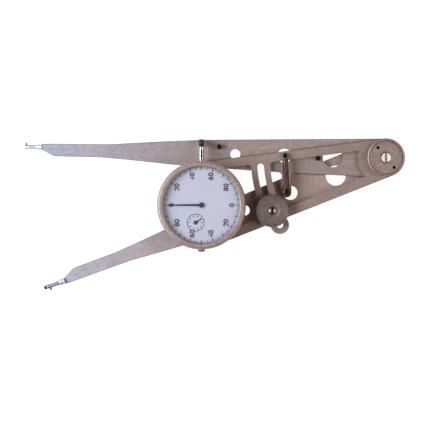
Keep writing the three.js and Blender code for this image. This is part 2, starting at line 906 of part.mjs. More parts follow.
// The small crosswise pin that touches the work on the outer side
function contactPin(side) {
  const dome = contactRadius / 2;
  const profile = [
    [0, -shankRadius],
    [contactRadius, -shankRadius],
    [contactRadius, shankRadius + contactOutward - dome],
    [dome, shankRadius + contactOutward],
    [0, shankRadius + contactOutward],
  ];
  const pin = turnedAlongY(profile, tinySides);
  if (side < 0) {
    pin.rotateZ(Math.PI);
  }
  const reach = armReach + ferruleLength + shankLength - contactInset;
  return pin.translate(-reach, side * ferruleRise, tipZ);
}

function rodAlongY(radius, from, to, sides) {
  return turnedAlongY([[0, from], [radius, from], [radius, to], [0, to]], sides);
}

function stopPin(x, y) {
  const height = frameTopZ + stopPinAboveFrame - upperArmZ;
  return rod(stopPinRadius, upperArmZ, height, smallSides, x, y);
}

function anvilPost() {
  const shoulder = upperArmZ + armThickness;
  const top = plungerZ + anvilAbovePlunger;
  return turned(
    [
      [0, upperArmZ],
      [anvilTailRadius, upperArmZ],
      [anvilTailRadius, shoulder],
      [anvilRadius, shoulder],
      [anvilRadius, top],
      [0, top],
    ],
    smallSides,
  );
}

function anvilCollar() {
  const z = upperArmZ + armThickness;
  const body = block(anvilCollarWidth, anvilCollarDepth, anvilCollarHeight, 0, 0, z);
  const height = anvilCollarHeight + 2 * cutOverrun;
  return cut(body, rod(anvilRadius + fixedClearance, z - cutOverrun, height, smallSides));
}

function clampStud() {
  const shoulderTop = frameZ - layerGap;
  const armTop = lowerArmZ + armThickness;
  const top = frameTopZ + studTopAboveFrame;
  const body = turned(
    [
      [0, lowerArmZ],
      [studRadius, lowerArmZ],
      [studRadius, armTop],
      [studShoulderRadius, armTop],
      [studShoulderRadius, shoulderTop],
      [studRadius, shoulderTop],
      [studRadius, top],
      [0, top],
    ],
    smallSides,
  );
  const depth = knobScrewShankLength + screwEndClearance;
  const hole = boreRadius(knobScrewShankRadius, smallSides, fixedClearance);
  return cut(body, rod(hole, top - depth, depth + cutOverrun, smallSides));
}

function clampWasher() {
  const bore = boreRadius(studRadius, smallSides);
  return ring(clampWasherRadius, bore, frameTopZ + faceClearance, clampWasherThickness, middleSides);
}

function clampKnob() {
  const z = frameTopZ + clampWasherThickness + 2 * faceClearance;
  const top = z + knobHeight;
  const bore = boreRadius(studRadius, smallSides);
  const seat = frameTopZ + studTopAboveFrame - faceClearance;
  return turned(
    [
      [bore, z],
      [knobHubRadius, z],
      [knobHubRadius, z + knobHubHeight],
      [knobRadius - knobChamfer, z + knobHubHeight],
      [knobRadius, z + knobHubHeight + knobChamfer],
      [knobRadius, top - knobChamfer],
      [knobRadius - knobChamfer, top],
      [knobDishRadius, top],
      [knobDishRadius - knobDishDepth / 2, top - knobDishDepth],
      [knobBossRadius + knobDishDepth / 2, top - knobDishDepth],
      [knobBossRadius, top],
      [knobRecessRadius, top],
      [knobRecessRadius, seat],
      [bore, seat],
      [bore, z],
    ],
    middleSides,
  );
}

// Dial gauge, in axes through the centre of the dial
function gaugeCase() {
  const top = caseTopZ;
  const inner = caseRadius - caseWall;
  const floorTop = frameTopZ + caseFloor;
  const shoulder = frameTopZ + caseShoulderHeight;
  const body = turned(
    [
      [caseOpeningRadius, frameTopZ],
      [caseRadius, frameTopZ],
      [caseRadius, shoulder],
      [caseNeckRadius, shoulder],
      [caseNeckRadius, top],
      [inner, top],
      [inner, floorTop],
      [caseOpeningRadius, floorTop],
      [caseOpeningRadius, frameTopZ],
    ],
    wideSides,
  );
  const holes = (reach, angle, radius) =>
    screwPlaces(reach, angle).map(([x, y]) => pinHole(radius, tinySides, x, y, frameTopZ, caseFloor));
  const outside = caseRadius + cutOverrun;
  const bushHole = rodAlongY(bushRadius + fixedClearance, -outside, outside, smallSides);
  return cut(
    body,
    bushHole.translate(0, 0, plungerZ),
    ...holes(mountScrewReach, mountScrewAngle, mountScrewShankRadius),
    ...holes(backScrewReach, backScrewAngle, backScrewShankRadius),
  );
}

function backCover() {
  const z = frameTopZ - backCoverThickness;
  const body = turned(
    [
      [0, z],
      [backCoverRadius - backCoverChamfer, z],
      [backCoverRadius, z + backCoverChamfer],
      [backCoverRadius, frameTopZ],
      [0, frameTopZ],
    ],
    middleSides,
  );
  const holes = screwPlaces(backScrewReach, backScrewAngle).map(([x, y]) =>
    pinHole(backScrewShankRadius, tinySides, x, y, z, backCoverThickness),
  );
  return cut(body, ...holes);
}

function mountScrew() {
  const headTop = frameZ + mountScrewHeadHeight;
  const length = backPlateZ - screwEndClearance - headTop;
  const body = screw(mountScrewHeadRadius, mountScrewHeadHeight, mountScrewShankRadius, length,
    screwSlotWidth, screwSlotDepth, tinySides, false);
  return body.translate(0, 0, headTop);
}

function backScrew() {
  const headTop = frameTopZ - backCoverThickness;
  const length = backPlateZ - screwEndClearance - headTop;
  const body = screw(backScrewHeadRadius, backScrewHeadHeight, backScrewShankRadius, length,
    screwSlotWidth, screwSlotDepth, tinySides, false);
  return body.translate(0, 0, headTop);
}

// A round plate of the movement with its holes for pillars and arbors
function movementPlate(z, thickness, holes) {
  return plate(circle(plateRadius, middleSides), z, thickness, holes);
}

function counterHole() {
  const bore = boreRadius(counterArborRadius, tinySides);
  return circle(bore, tinySides, counterOffsetX, counterOffsetY);
}

function centerHole() {
  return circle(boreRadius(centerArborRadius, tinySides), tinySides);
}

function pillarPlaces() {
  return pillarAngles.map((angle) => [
    pillarReach * Math.cos(radians(angle)),
    pillarReach * Math.sin(radians(angle)),
  ]);
}

function pillarHoles() {
  return pillarPlaces().map(([x, y]) => circle(pillarRadius + fixedClearance, tinySides, x, y));
}

function plungerBush(from, to) {
  const bore = boreRadius(plungerRadius, smallSides);
  const profile = [
    [bore, from],
    [bushRadius, from],
    [bushRadius, to],
    [bore, to],
    [bore, from],
  ];
  return turnedAlongY(profile, smallSides).translate(0, 0, plungerZ);
}

// The cap over the lower end of the plunger: open towards the case
function plungerCap() {
  const near = -caseRadius - faceClearance;
  const far = near - capLength;
  const inner = capRadius - capWall;
  const profile = [
    [0, far],
    [capRadius, far],
    [capRadius, near],
    [inner, near],
    [inner, far + capWall],
    [0, far + capWall],
  ];
  return turnedAlongY(profile, smallSides).translate(0, 0, plungerZ);
}

// The outline of a toothed wheel or pinion. Phase is the angle of one tooth.
function gearOutline(teeth, pitchRadius, phase) {
  const step = 360 / teeth;
  const root = pitchRadius - toothRoot;
  const tip = pitchRadius + toothHeight;
  const outline = [];
  for (let i = 0; i < teeth; i++) {
    const middle = phase + i * step;
    const corners = [
      [root, -toothRootShare],
      [tip, -toothTipShare],
      [tip, toothTipShare],
      [root, toothRootShare],
    ];
    corners.forEach(([radius, share]) => {
      const at = radians(middle + share * step);
      outline.push(new THREE.Vector2(radius * Math.cos(at), radius * Math.sin(at)));
    });
  }
  return outline;
}

function counterGear() {
  const pitchRadius = gearDistance * gearShare;
  const phase = THREE.MathUtils.radToDeg(Math.atan2(-counterOffsetY, -counterOffsetX));
  const bore = circle(counterArborRadius + fixedClearance, tinySides);
  return plate(gearOutline(gearTeeth, pitchRadius, phase), gearZ, gearThickness, [bore]);
}

function counterArbor() {
  const foot = backPlateZ + arborEndClearance;
  const top = faceTopZ + counterHandAboveFace;
  const outline = gearOutline(rackPinionTeeth, rackPinionRadius, 0);
  const pinion = plate(outline, plungerZ - rackPinionWidth / 2, rackPinionWidth);
  return join(rod(counterArborRadius, foot, top - foot, tinySides), pinion);
}

function centerArbor() {
  const foot = middlePlateZ + arborEndClearance;
  const top = faceTopZ + pointerAboveFace + handThickness;
  const pitchRadius = gearDistance * (1 - gearShare);
  const towardGear = THREE.MathUtils.radToDeg(Math.atan2(counterOffsetY, counterOffsetX));
  const outline = gearOutline(gearPinionTeeth, pitchRadius, towardGear + 180 / gearPinionTeeth);
  const z = gearZ + (gearThickness - gearPinionWidth) / 2;
  return join(rod(centerArborRadius, foot, top - foot, tinySides), plate(outline, z, gearPinionWidth));
}

// The plunger: a round rod with rack teeth on the side of the counter arbor
function plunger() {
  const foot = -caseRadius - faceClearance - capLength + capWall + plungerTravel;
  const top = anvilRise - anvilRadius - anvilGap - plungerTipLength - dialY;
  const pitch = (2 * Math.PI * rackPinionRadius) / rackPinionTeeth;
  const pitchLine = counterOffsetX + rackPinionRadius;
  const teeth = Math.ceil(plungerTravel / pitch) + 2;
  const start = counterOffsetY - pitch;
  const outline = [
    new THREE.Vector2(-plungerRadius / 2, start),
    new THREE.Vector2(-plungerRadius / 2, start + teeth * pitch),
    new THREE.Vector2(pitchLine + toothRoot, start + teeth * pitch),
  ];
  for (let i = teeth - 1; i >= 0; i--) {
    const centre = start + (i + 1 / 2) * pitch;
    outline.push(new THREE.Vector2(pitchLine + toothRoot, centre + toothRootShare * pitch));
    outline.push(new THREE.Vector2(pitchLine - toothHeight, centre + toothTipShare * pitch));
    outline.push(new THREE.Vector2(pitchLine - toothHeight, centre - toothTipShare * pitch));
    outline.push(new THREE.Vector2(pitchLine + toothRoot, centre - toothRootShare * pitch));
  }
  outline.push(new THREE.Vector2(pitchLine + toothRoot, start));
  const rack = plate(outline, plungerZ - rackWidth / 2, rackWidth);
  return join(rodAlongY(plungerRadius, foot, top, smallSides).translate(0, 0, plungerZ), rack);
}

function plungerTip() {
  const foot = anvilRise - anvilRadius - anvilGap - plungerTipLength - dialY;
  const profile = [
    [0, foot],
    [plungerTipRadius, foot],
    [plungerTipRadius, foot + plungerTipLength / 2],
    [plungerTipRadius / 2, foot + plungerTipLength],
    [0, foot + plungerTipLength],
  ];
  return turnedAlongY(profile, smallSides).translate(0, 0, plungerZ);
}

function dialCenterPlate() {
  const hole = boreRadius(centerArborRadius, tinySides, handHoleClearance);
  const body = turned(
    [
      [hole, faceZ],
      [centerPlateFootInner, faceZ],
      [centerPlateFootInner, frontPlateTopZ],
      [centerPlateFootOuter, frontPlateTopZ],
      [centerPlateFootOuter, faceZ],
      [centerPlateRadius, faceZ],
      [centerPlateRadius, faceTopZ],
      [hole, faceTopZ],
      [hole, faceZ],
    ],
    wideSides,
  );
  const counterBore = boreRadius(counterArborRadius, tinySides, handHoleClearance);
  return cut(body, rod(counterBore, faceZ - cutOverrun, faceThickness + 2 * cutOverrun, tinySides,
    counterOffsetX, counterOffsetY));
}

function dialScaleRing() {
  return ring(scaleRingRadius, centerPlateRadius + faceGap, faceZ, faceThickness, wideSides);
}

// A tapered hand along +X with a round hub and a bore for its arbor
function hand(length, tail, width, hubRadius, arborRadius, z) {
  const tip = (width * pointerTipShare) / 2;
  const blade = [
    new THREE.Vector2(-tail, -width / 2),
    new THREE.Vector2(length, -tip),
    new THREE.Vector2(length, tip),
    new THREE.Vector2(-tail, width / 2),
  ];
  const height = handThickness + 2 * cutOverrun;
  const bore = rod(arborRadius + fixedClearance, z - cutOverrun, height, tinySides);
  const hub = rod(hubRadius, z, handThickness, smallSides);
  return cut(join(plate(blade, z, handThickness), hub), bore);
}

function bezel() {
  const skirt = boreRadius(caseNeckRadius, wideSides, bezelSkirtClearance);
  return turned(
    [
      [skirt, bezelZ],
      [bezelRadius, bezelZ],
      [bezelRadius, bezelTopZ - bezelEdgeDrop],
      [bezelTopRadius, bezelTopZ - bezelTopDrop / 2],
      [bezelCrownRadius, bezelTopZ],
      [bezelWindowRadius + bezelLipFlare, bezelTopZ],
      [bezelWindowRadius, bezelTopZ - bezelLip + bezelLipEdge],
      [bezelWindowRadius, bezelTopZ - bezelLip],
      [skirt, bezelTopZ - bezelLip],
      [skirt, bezelZ],
    ],
    wideSides,
  );
}

// Assembly
const gauge = new THREE.Group();

add(gauge, "dial_frame", dialFrame(), frameSteel);
add(gauge, "pivot_axle", pivotAxle(), darkSteel);
add(gauge, "pivot_nut", pivotNut(), darkSteel);
const pivotScrew = screw(pivotScrewHeadRadius, pivotScrewHeadHeight, pivotScrewShankRadius,
  pivotScrewShankLength, pivotScrewSlotWidth, pivotScrewSlotDepth, smallSides, true);
add(gauge, "pivot_screw", pivotScrew, brightSteel).position.z = axleTopZ;
add(gauge, "pivot_shim_rear", pivotShim(flangeThickness), brass);
add(gauge, "pivot_shim_lower", pivotShim(lowerArmZ + armThickness), brass);
add(gauge, "pivot_shim_upper", pivotShim(upperArmZ + armThickness), brass);
add(gauge, "pivot_shim_front", pivotShim(frameTopZ), brass);
const framePin = add(gauge, "frame_spring_pin", springPin(frameZ), blackSteel);
framePin.position.set(-framePinReach, framePinRise, 0);
add(gauge, "return_spring", returnSpring(), springWire);

add(gauge, "upper_arm", upperArm(), armSteel);
add(gauge, "lug_spring_pin", springPin(upperArmZ), blackSteel).position.set(-lugReach, -lugPinDrop, 0);
add(gauge, "rest_stop_pin", stopPin(-restPinReach, restPinRise), blackSteel);
add(gauge, "travel_stop_pin", stopPin(-travelPinReach, travelPinRise), blackSteel);
add(gauge, "anvil_post", anvilPost(), darkSteel).position.set(dialX, anvilRise, 0);
add(gauge, "anvil_collar", anvilCollar(), armSteel).position.set(dialX, anvilRise, 0);
add(gauge, "upper_tip_ferrule", tipFerrule(1), brightSteel);
add(gauge, "upper_tip_shank", tipShank(1), brightSteel);
add(gauge, "upper_contact_pin", contactPin(1), brightSteel);

// The lower arm lies turned about the pivot, with the clamp on it
const lowerGroup = new THREE.Group();
lowerGroup.rotation.z = radians(lowerArmAngle);
gauge.add(lowerGroup);
add(lowerGroup, "lower_arm", lowerArm(), armSteel);
add(lowerGroup, "lower_tip_ferrule", tipFerrule(-1), brightSteel);
add(lowerGroup, "lower_tip_shank", tipShank(-1), brightSteel);
add(lowerGroup, "lower_contact_pin", contactPin(-1), blackSteel);
const clampGroup = new THREE.Group();
clampGroup.position.set(...studPlace(), 0);
lowerGroup.add(clampGroup);
add(clampGroup, "clamp_stud", clampStud(), darkSteel);
add(clampGroup, "clamp_washer", clampWasher(), brightSteel);
add(clampGroup, "clamp_knob", clampKnob(), darkSteel);
const knobScrew = screw(knobScrewHeadRadius, knobScrewHeadHeight, knobScrewShankRadius,
  knobScrewShankLength, knobScrewSlotWidth, knobScrewSlotDepth, smallSides, true);
add(clampGroup, "knob_screw", knobScrew, brightSteel).position.z = frameTopZ + studTopAboveFrame;

// The dial gauge stands on the dial plate of the frame
const dialGroup = new THREE.Group();
dialGroup.position.set(dialX, dialY, 0);
gauge.add(dialGroup);
add(dialGroup, "gauge_case", gaugeCase(), bezelSteel);
add(dialGroup, "gauge_back_cover", backCover(), bezelSteel);
screwPlaces(mountScrewReach, mountScrewAngle).forEach(([x, y], i) => {
  add(dialGroup, "gauge_mount_screw_" + (i + 1), mountScrew(), darkSteel).position.set(x, y, 0);
});
screwPlaces(backScrewReach, backScrewAngle).forEach(([x, y], i) => {
  add(dialGroup, "back_cover_screw_" + (i + 1), backScrew(), darkSteel).position.set(x, y, 0);
});
const backPlate = movementPlate(backPlateZ, backPlateThickness, [counterHole()]);
add(dialGroup, "movement_back_plate", backPlate, brass);
const middleHoles = [counterHole(), centerHole(), ...pillarHoles()];
const middlePlate = movementPlate(middlePlateZ, middlePlateThickness, middleHoles);
add(dialGroup, "movement_middle_plate", middlePlate, brass);
const frontHoles = [counterHole(), centerHole()];
const frontPlate = movementPlate(frontPlateZ, frontPlateThickness, frontHoles);
add(dialGroup, "movement_front_plate", frontPlate, brass);
pillarPlaces().forEach(([x, y], i) => {
  const pillar = rod(pillarRadius, backPlateTopZ, frontPlateZ - backPlateTopZ, tinySides);
  add(dialGroup, "movement_pillar_" + (i + 1), pillar, brass).position.set(x, y, 0);
});
const upperBush = plungerBush(caseRadius - upperBushInward, caseRadius + upperBushOutward);
add(dialGroup, "upper_plunger_bush", upperBush, brightSteel);
const lowerBush = plungerBush(faceClearance - caseRadius, lowerBushLength - caseRadius);
add(dialGroup, "lower_plunger_bush", lowerBush, brightSteel);
add(dialGroup, "plunger_cap", plungerCap(), brightSteel);
add(dialGroup, "plunger", plunger(), brightSteel);
add(dialGroup, "plunger_tip", plungerTip(), brightSteel);
add(dialGroup, "dial_center_plate", dialCenterPlate(), dialWhite);
add(dialGroup, "dial_scale_ring", dialScaleRing(), dialWhite);
add(dialGroup, "bezel", bezel(), bezelSteel);
add(dialGroup, "crystal", rod(crystalRadius, crystalZ, crystalThickness, wideSides), clearGlass);

const counterGroup = new THREE.Group();
counterGroup.position.set(counterOffsetX, counterOffsetY, 0);
dialGroup.add(counterGroup);
add(counterGroup, "counter_arbor", counterArbor(), brightSteel);
add(counterGroup, "counter_gear", counterGear(), brass);
const counterHand = hand(counterHandLength, counterHandTail, counterHandWidth, counterHandHubRadius,
  counterArborRadius, faceTopZ + counterHandAboveFace - handThickness);
add(counterGroup, "counter_hand", counterHand, blackPaint).rotation.z = radians(counterHandAngle);

add(dialGroup, "center_arbor", centerArbor(), brightSteel);
const pointerZ = faceTopZ + pointerAboveFace;
const pointer = hand(pointerLength, pointerTail, pointerWidth, pointerHubRadius,
  centerArborRadius, pointerZ);
add(dialGroup, "main_pointer", pointer, blackPaint).rotation.z = Math.PI;
const pointerCap = rod(pointerCapRadius, pointerZ + handThickness, pointerCapHeight, smallSides);
add(dialGroup, "pointer_cap", pointerCap, blackPaint);

export default gauge;
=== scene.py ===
"""Inside caliper gauge with a dial: its visible pieces, finishes, light and camera.

The pieces are drawn in millimetres until a mesh is made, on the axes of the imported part: the
pivot at the origin, the arms towards -X, the reader above at +Z. Their levels come from the boxes
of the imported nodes. The camera and the lamps are placed in metres.
"""

import itertools
import math

import bmesh
import bpy
from mathutils import Matrix, Vector, geometry


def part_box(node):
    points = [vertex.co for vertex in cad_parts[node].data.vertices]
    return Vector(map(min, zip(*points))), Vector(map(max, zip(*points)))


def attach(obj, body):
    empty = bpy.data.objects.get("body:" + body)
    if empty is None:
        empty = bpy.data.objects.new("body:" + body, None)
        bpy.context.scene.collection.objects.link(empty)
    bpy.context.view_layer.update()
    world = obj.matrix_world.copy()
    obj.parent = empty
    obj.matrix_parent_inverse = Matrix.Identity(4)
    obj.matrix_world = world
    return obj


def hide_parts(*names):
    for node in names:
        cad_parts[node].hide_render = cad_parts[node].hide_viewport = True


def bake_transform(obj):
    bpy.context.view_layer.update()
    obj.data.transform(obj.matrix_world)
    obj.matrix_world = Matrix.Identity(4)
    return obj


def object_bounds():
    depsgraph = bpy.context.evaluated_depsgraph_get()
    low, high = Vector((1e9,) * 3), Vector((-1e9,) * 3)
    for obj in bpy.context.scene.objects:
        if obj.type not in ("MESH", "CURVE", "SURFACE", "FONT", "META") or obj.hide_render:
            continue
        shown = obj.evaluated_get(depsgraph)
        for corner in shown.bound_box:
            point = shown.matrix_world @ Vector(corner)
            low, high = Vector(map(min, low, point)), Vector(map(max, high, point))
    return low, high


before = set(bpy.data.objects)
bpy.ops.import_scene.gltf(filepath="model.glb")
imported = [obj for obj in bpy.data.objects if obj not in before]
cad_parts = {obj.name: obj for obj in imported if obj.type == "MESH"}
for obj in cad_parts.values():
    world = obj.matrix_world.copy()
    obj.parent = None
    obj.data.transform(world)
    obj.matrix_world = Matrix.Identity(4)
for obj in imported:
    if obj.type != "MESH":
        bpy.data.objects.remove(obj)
cad_box = [list(corner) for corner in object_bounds()]

MM = 0.001

# Measuring arms: edges in shares of the reach and of the boss, holes as reach, offset and radius
ARM_REACH = 223.5
ARM_BOSS = 12.4
ARM_END_CUT_SHARE = 0.42
ARM_OUTER_EDGE_SHARES = (
    (0.529, 0.935), (0.575, 0.903), (0.668, 0.831), (0.762, 0.742), (0.808, 0.702), (0.948, 0.726),
    (1.0, 0.726),
)
ARM_INNER_EDGE_SHARES = (
    (0.971, 0.14), (0.956, 0.08), (0.878, 0.045), (0.831, 0.024), (0.762, -0.089), (0.692, -0.218),
    (0.599, -0.395), (0.436, -0.613), (0.3105, -0.758), (0.174, -0.895), (0.0604, -0.984),
)
ARM_HOLES = ((97.8, 2.23, 3.6), (65.9, 1.24, 4.9), (34.4, 0.31, 6.82))
LOWER_ARM_ANGLE = 19.2

# Tips: ferrule, shank with a neck, and contact pin
TIP_RISE = 7.0
TIP_LEVEL = 4.4
FERRULE = 2.05
FERRULE_BORE = 1.38
FERRULE_LENGTH = 3.9
SHANK = 1.35
SHANK_LENGTH = 11.1
LOWER_SHANK_OVERHANG = 3.0
NECK = 1.2
NECK_LENGTH = 1.3
CONTACT = 0.65
CONTACT_REACH = 10.3
CONTACT_SPAN = (-1.35, 2.75)

# Frame: a teardrop plate with a slotted quadrant across it
FRAME_ANGLE = 14.46
DIAL_DISTANCE = 123.7
FRAME_BOSS = 12.5
DIAL_PLATE = 27.8
BAR_WIDTH = 5.6
WEB_REACH = 17.9
WINDOW_FILLET = 2.2
SLOT_REACH = 81.506
SLOT_HALF = 2.45
SLOT_RIB = 3.5
SLOT_ANGLES = (4.23, 32.4)
PLATE_HOLE = 15.2
MOUNT_SCREW_HOLE = 2.45
FRAME_TAPER = math.asin((DIAL_PLATE - FRAME_BOSS) / DIAL_DISTANCE)

# Pivot: spindle with a flange, shims, and a nut with spanner holes round the recess of a screw
AXLE = 6.0
AXLE_FIT = 0.03
FLANGE_RISE = 1.2
SHIM_BORE = 6.1
NUT_BEVEL = 1.15
NUT_GROOVE = 1.2
NUT_RECESS = 3.6
NUT_SEAT = 2.4
SPANNER_HOLE = 1.05
SPANNER_DEPTH = 2.0
SPANNER_REACH = 8.25
SPANNER_ANGLES = (129, 309)

# Lug and notch of the upper arm, and the spring between the lug and the frame
LUG_REACH = 64.406
LUG_WIDTH = 6.2
LUG_DROP = 25.9
LUG_FILLET = 2.6
NOTCH_HALF = 4.0
NOTCH_TOP = 1.4
HOOK_PIN = 1.0
HOOK_PIN_HEAD = 0.5
ANVIL_SHANK = 1.0
ANVIL_DOME = 1.3
SPRING_WIRE = 0.25
SPRING_COIL = 1.75
SPRING_LEVEL = 12.3
SPRING_LEAD = 1.9
SPRING_BEND = 1.3
SPRING_TURNS = 40
SPRING_TURN_STEPS = 16
HOOK_SWEEP = 215
HOOK_STEPS = 13
HOOK_THICKNESS_SHARE = 1.5

# Clamp: stud, washer and knurled knob
STUD = 2.3
STUD_COLLAR = 2.9
WASHER = 5.6
KNOB_BORE = 2.4
KNOB_FOOT = 6.6
KNOB_FOOT_RISE = 0.8
KNOB_RECESS = 2.9
KNOB_RECESS_DEPTH = 1.15
KNOB_TEETH = 72
KNOB_KNURL = 0.28

# Slotted screws: radii of head and shank, rise and dome of the head, width and depth of the slot
NUT_SCREW = {"head": 3.2, "shank": 1.5, "rise": 1.8, "dome": 0.12, "slot": 1.5, "depth": 0.5}
KNOB_SCREW = {"head": 2.3, "shank": 0.9, "rise": 1.1, "dome": 0.5, "slot": 0.8, "depth": 0.65}
CASE_SCREW = {"head": 2.3, "shank": 1.1, "rise": 1.3, "dome": 0.3, "slot": 0.5, "depth": 0.5}
LID_SCREW = {"head": 1.2, "shank": 0.6, "rise": 0.6, "dome": 0.15, "slot": 0.3, "depth": 0.3}

# Dial gauge: case, bezel and glass
DIAL_X = -DIAL_DISTANCE * math.cos(math.radians(FRAME_ANGLE))
DIAL_Y = -DIAL_DISTANCE * math.sin(math.radians(FRAME_ANGLE))
DIAL_PLACE = (DIAL_X, DIAL_Y)
CASE_OPENING = 10.5
CASE_FLOOR = 1.6
CASE_BORE = 24.4
CASE_SPIGOT = 25.6
CASE_LEDGE = 8.8
LID_DISH = 6.8
LID_GROOVE = 10.1
BEZEL_BORE = 25.75
BEZEL_LIP = 1.1
BEZEL_TEETH = 200
BEZEL_KNURL = 0.22
DIAL_WINDOW = 24.8
CRYSTAL_DOME = 0.35

# Its plunger, with a keyway and a rack, in the bushes and the cap of the case
PLUNGER = 1.5
PLUNGER_LEVEL = 15.1
STEM = Matrix.Translation((*DIAL_PLACE, PLUNGER_LEVEL)) @ Matrix.Rotation(-math.pi / 2, 4, "X")
STEM_BORE = 1.6
BUSH_BORE = 1.55
CAP_BORE = 1.75
KEYWAY_WIDTH = 1.25
KEYWAY_FLOOR = 1.0
RACK_TEETH = 10
RACK_PITCH = 1.026
RACK_BACK = 0.75
RACK_DEPTH = 0.52
RACK_HALF = 0.7
RACK_FOOT = 1.03
PINION_GAP = 1.43

# Its face, print and hands
COUNTER_PLACE = (DIAL_X - 3.77, DIAL_Y - 11.299)
FACE_THICKNESS = 0.6
FACE_SEAM = 0.11
FACE_HOLE = 0.95
FOOT_REACH = 13.7
FOOT_WALL = 1.2
SCALE_BORE = 17.65
SCALE_EDGE = 24.9
DIVISIONS = 200
# Marks: inner end, width, number of places, and every how many places a longer mark takes over
SCALE_MARKS = ((23.5, 0.15, DIVISIONS, 5), (23.2, 0.4, DIVISIONS // 5, 2), (22.6, 0.55, DIVISIONS // 10, 0))
NUMBERS = ("0", "20", "40", "60", "80") * 2
NUMBER_REACH = 19.6
NUMBER_HEIGHT = 3.2
NUMBER_STROKE = 0.4
NUMBER_INK = 0.03
DIGIT_WIDTH_SHARE = 0.72
DIGIT_PITCH_SHARE = 0.78
INK_ROOT = 0.01
INK = 0.02
COUNTER_HOLE = 1.05
COUNTER_RING = 5.45
COUNTER_RING_WIDTH = 0.42
COUNTER_MARKS = (3.6, 4.7)
COUNTER_MARK_WIDTH = 0.55
COUNTER_DIVISIONS = 10
COUNTER_ARBOR = 0.63
COUNTER_READING = 33
POINTER_ARBOR = 0.53
POINTER_READING = 180
# Hands: length, width and radius of the hub
COUNTER_HAND = (4.2, 0.9, 1.35)
POINTER = (21.6, 1.3, 1.75)
HAND_TIP_SHARE = 0.6

# Facets around round pieces
FINE = 128
SMALL = 48
COARSE = 24

# How far the edges of turned pieces, of plates and of hands are rounded
EDGE = 0.12
PLATE_EDGE = 0.28
HAND_EDGE = 0.04

# How far a cutter goes past what it cuts
OVERRUN = 1.0


def placed(name, data):
    """A new object in the scene."""
    made = bpy.data.objects.new(name, data)
    bpy.context.scene.collection.objects.link(made)
    return made


def view_from_above():
    """A camera over the middle of the photograph's frame, looking straight down."""
    bpy.context.scene.view_settings.view_transform = "Standard"
    x, y, height = -0.1110, -0.0373, 3.0
    level, width = 0.010, 0.2795
    camera = placed("camera", bpy.data.cameras.new("camera"))
    camera.location = (x, y, height)
    camera.data.sensor_width = 36
    camera.data.lens = camera.data.sensor_width * (height - level) / width
    bpy.context.scene.camera = camera


class Value:
    """An output of a node, on which sums, products and powers are written as in Python."""

    def __init__(self, nodes, output):
        self.nodes = nodes
        self.output = output

    def combined(self, operation, first, second):
        return self.nodes.add("Math", {"operation": operation}, {0: first, 1: second})

    def __add__(self, other):
        return self.combined("ADD", self, other)

    __radd__ = __add__

    def __sub__(self, other):
        return self.combined("SUBTRACT", self, other)

    def __rsub__(self, other):
        return self.combined("SUBTRACT", other, self)

    def __mul__(self, other):
        return self.combined("MULTIPLY", self, other)

    __rmul__ = __mul__


class Nodes:
    """A node tree, with one method that adds any node to it and short forms of that method."""

    def __init__(self, tree):
        self.tree = tree

    def feed(self, socket, value):
        """Links a value to a socket, or sets the socket to a constant."""
        if isinstance(value, Value):
            self.tree.links.new(value.output, socket)
        else:
            socket.default_value = value

    def add(self, kind, settings=None, inputs=None, output=0):
        """One of the outputs of a new node, made from its type, its settings and its inputs."""
        node = self.tree.nodes.new("ShaderNode" + kind)
        for name, setting in (settings or {}).items():
            setattr(node, name, setting)
        for name, value in (inputs or {}).items():
            self.feed(node.inputs[name], value)
        return Value(self, node.outputs[output])

    def mixed(self, factor, first, second):
        """A colour between two colours."""
        settings = {"data_type": "RGBA"}
        return self.add("Mix", settings, {0: factor, 6: first, 7: second}, output=2)

    def between(self, value, low, high):
        """Goes from 0 to 1 as a value goes from low to high."""
        return self.add("MapRange", None, {"Value": value, "From Min": low, "From Max": high})

    def vector(self, operation, first, second=(0, 0, 0), output="Vector"):
        """A sum, product or measure of two vectors."""
        return self.add("VectorMath", {"operation": operation}, {0: first, 1: second}, output)

    def ray(self, kind):
        """1 where the light path is of a kind, and 0 elsewhere."""
        return self.add("LightPath", output="Is " + kind + " Ray")

    def noise(self, place, scale, detail=2.0, roughness=0.5):
        """Soft noise about 0.5."""
        inputs = {"Vector": place, "Scale": scale, "Detail": detail, "Roughness": roughness}
        return self.add("TexNoise", None, inputs)


class Finish(Nodes):
    """A material of one principled surface."""

    def __init__(self, name, **constants):
        self.material = bpy.data.materials.new(name)
        self.material.use_nodes = True
        super().__init__(self.material.node_tree)
        self.surface = self.tree.nodes["Principled BSDF"]
        self.set(**constants)

    def set(self, **inputs):
        """Feeds sockets of the surface, with low lines for the spaces of their names."""
        for name, value in inputs.items():
            self.feed(self.surface.inputs[name.replace("_", " ")], value)

    def place(self):
        """The place on the piece, in metres."""
        return self.add("TexCoord", output="Object")

    def stretched(self, place, scale, turn=0.0):
        """A place turned about Z and scaled, for noise with a grain."""
        rotation = (0, 0, math.radians(turn))
        return self.add("Mapping", None, {"Vector": place, "Rotation": rotation, "Scale": scale})

    def mottle(self, place):
        """Fine blotches of handled steel."""
        return self.between(self.noise(place, 620.0, 2.0, 0.6), 0.26, 0.74)

    def bump(self, height, strength, depth):
        """A normal that a height moves in and out, by a depth in millimetres."""
        return self.add("Bump", None, {"Height": height, "Strength": strength, "Distance": depth * MM})


def tone(code, share=1.0):
    """The linear colour of a screen colour code, made lighter or darker by a share."""
    channels = [int(code[i : i + 2], 16) / 255 for i in (0, 2, 4)]
    linear = [v / 12.92 if v <= 0.04045 else ((v + 0.055) / 1.055) ** 2.4 for v in channels]
    return (*[v * share for v in linear], 1.0)


def grey(level):
    """A linear colour without a hue."""
    return (level, level, level, 1.0)


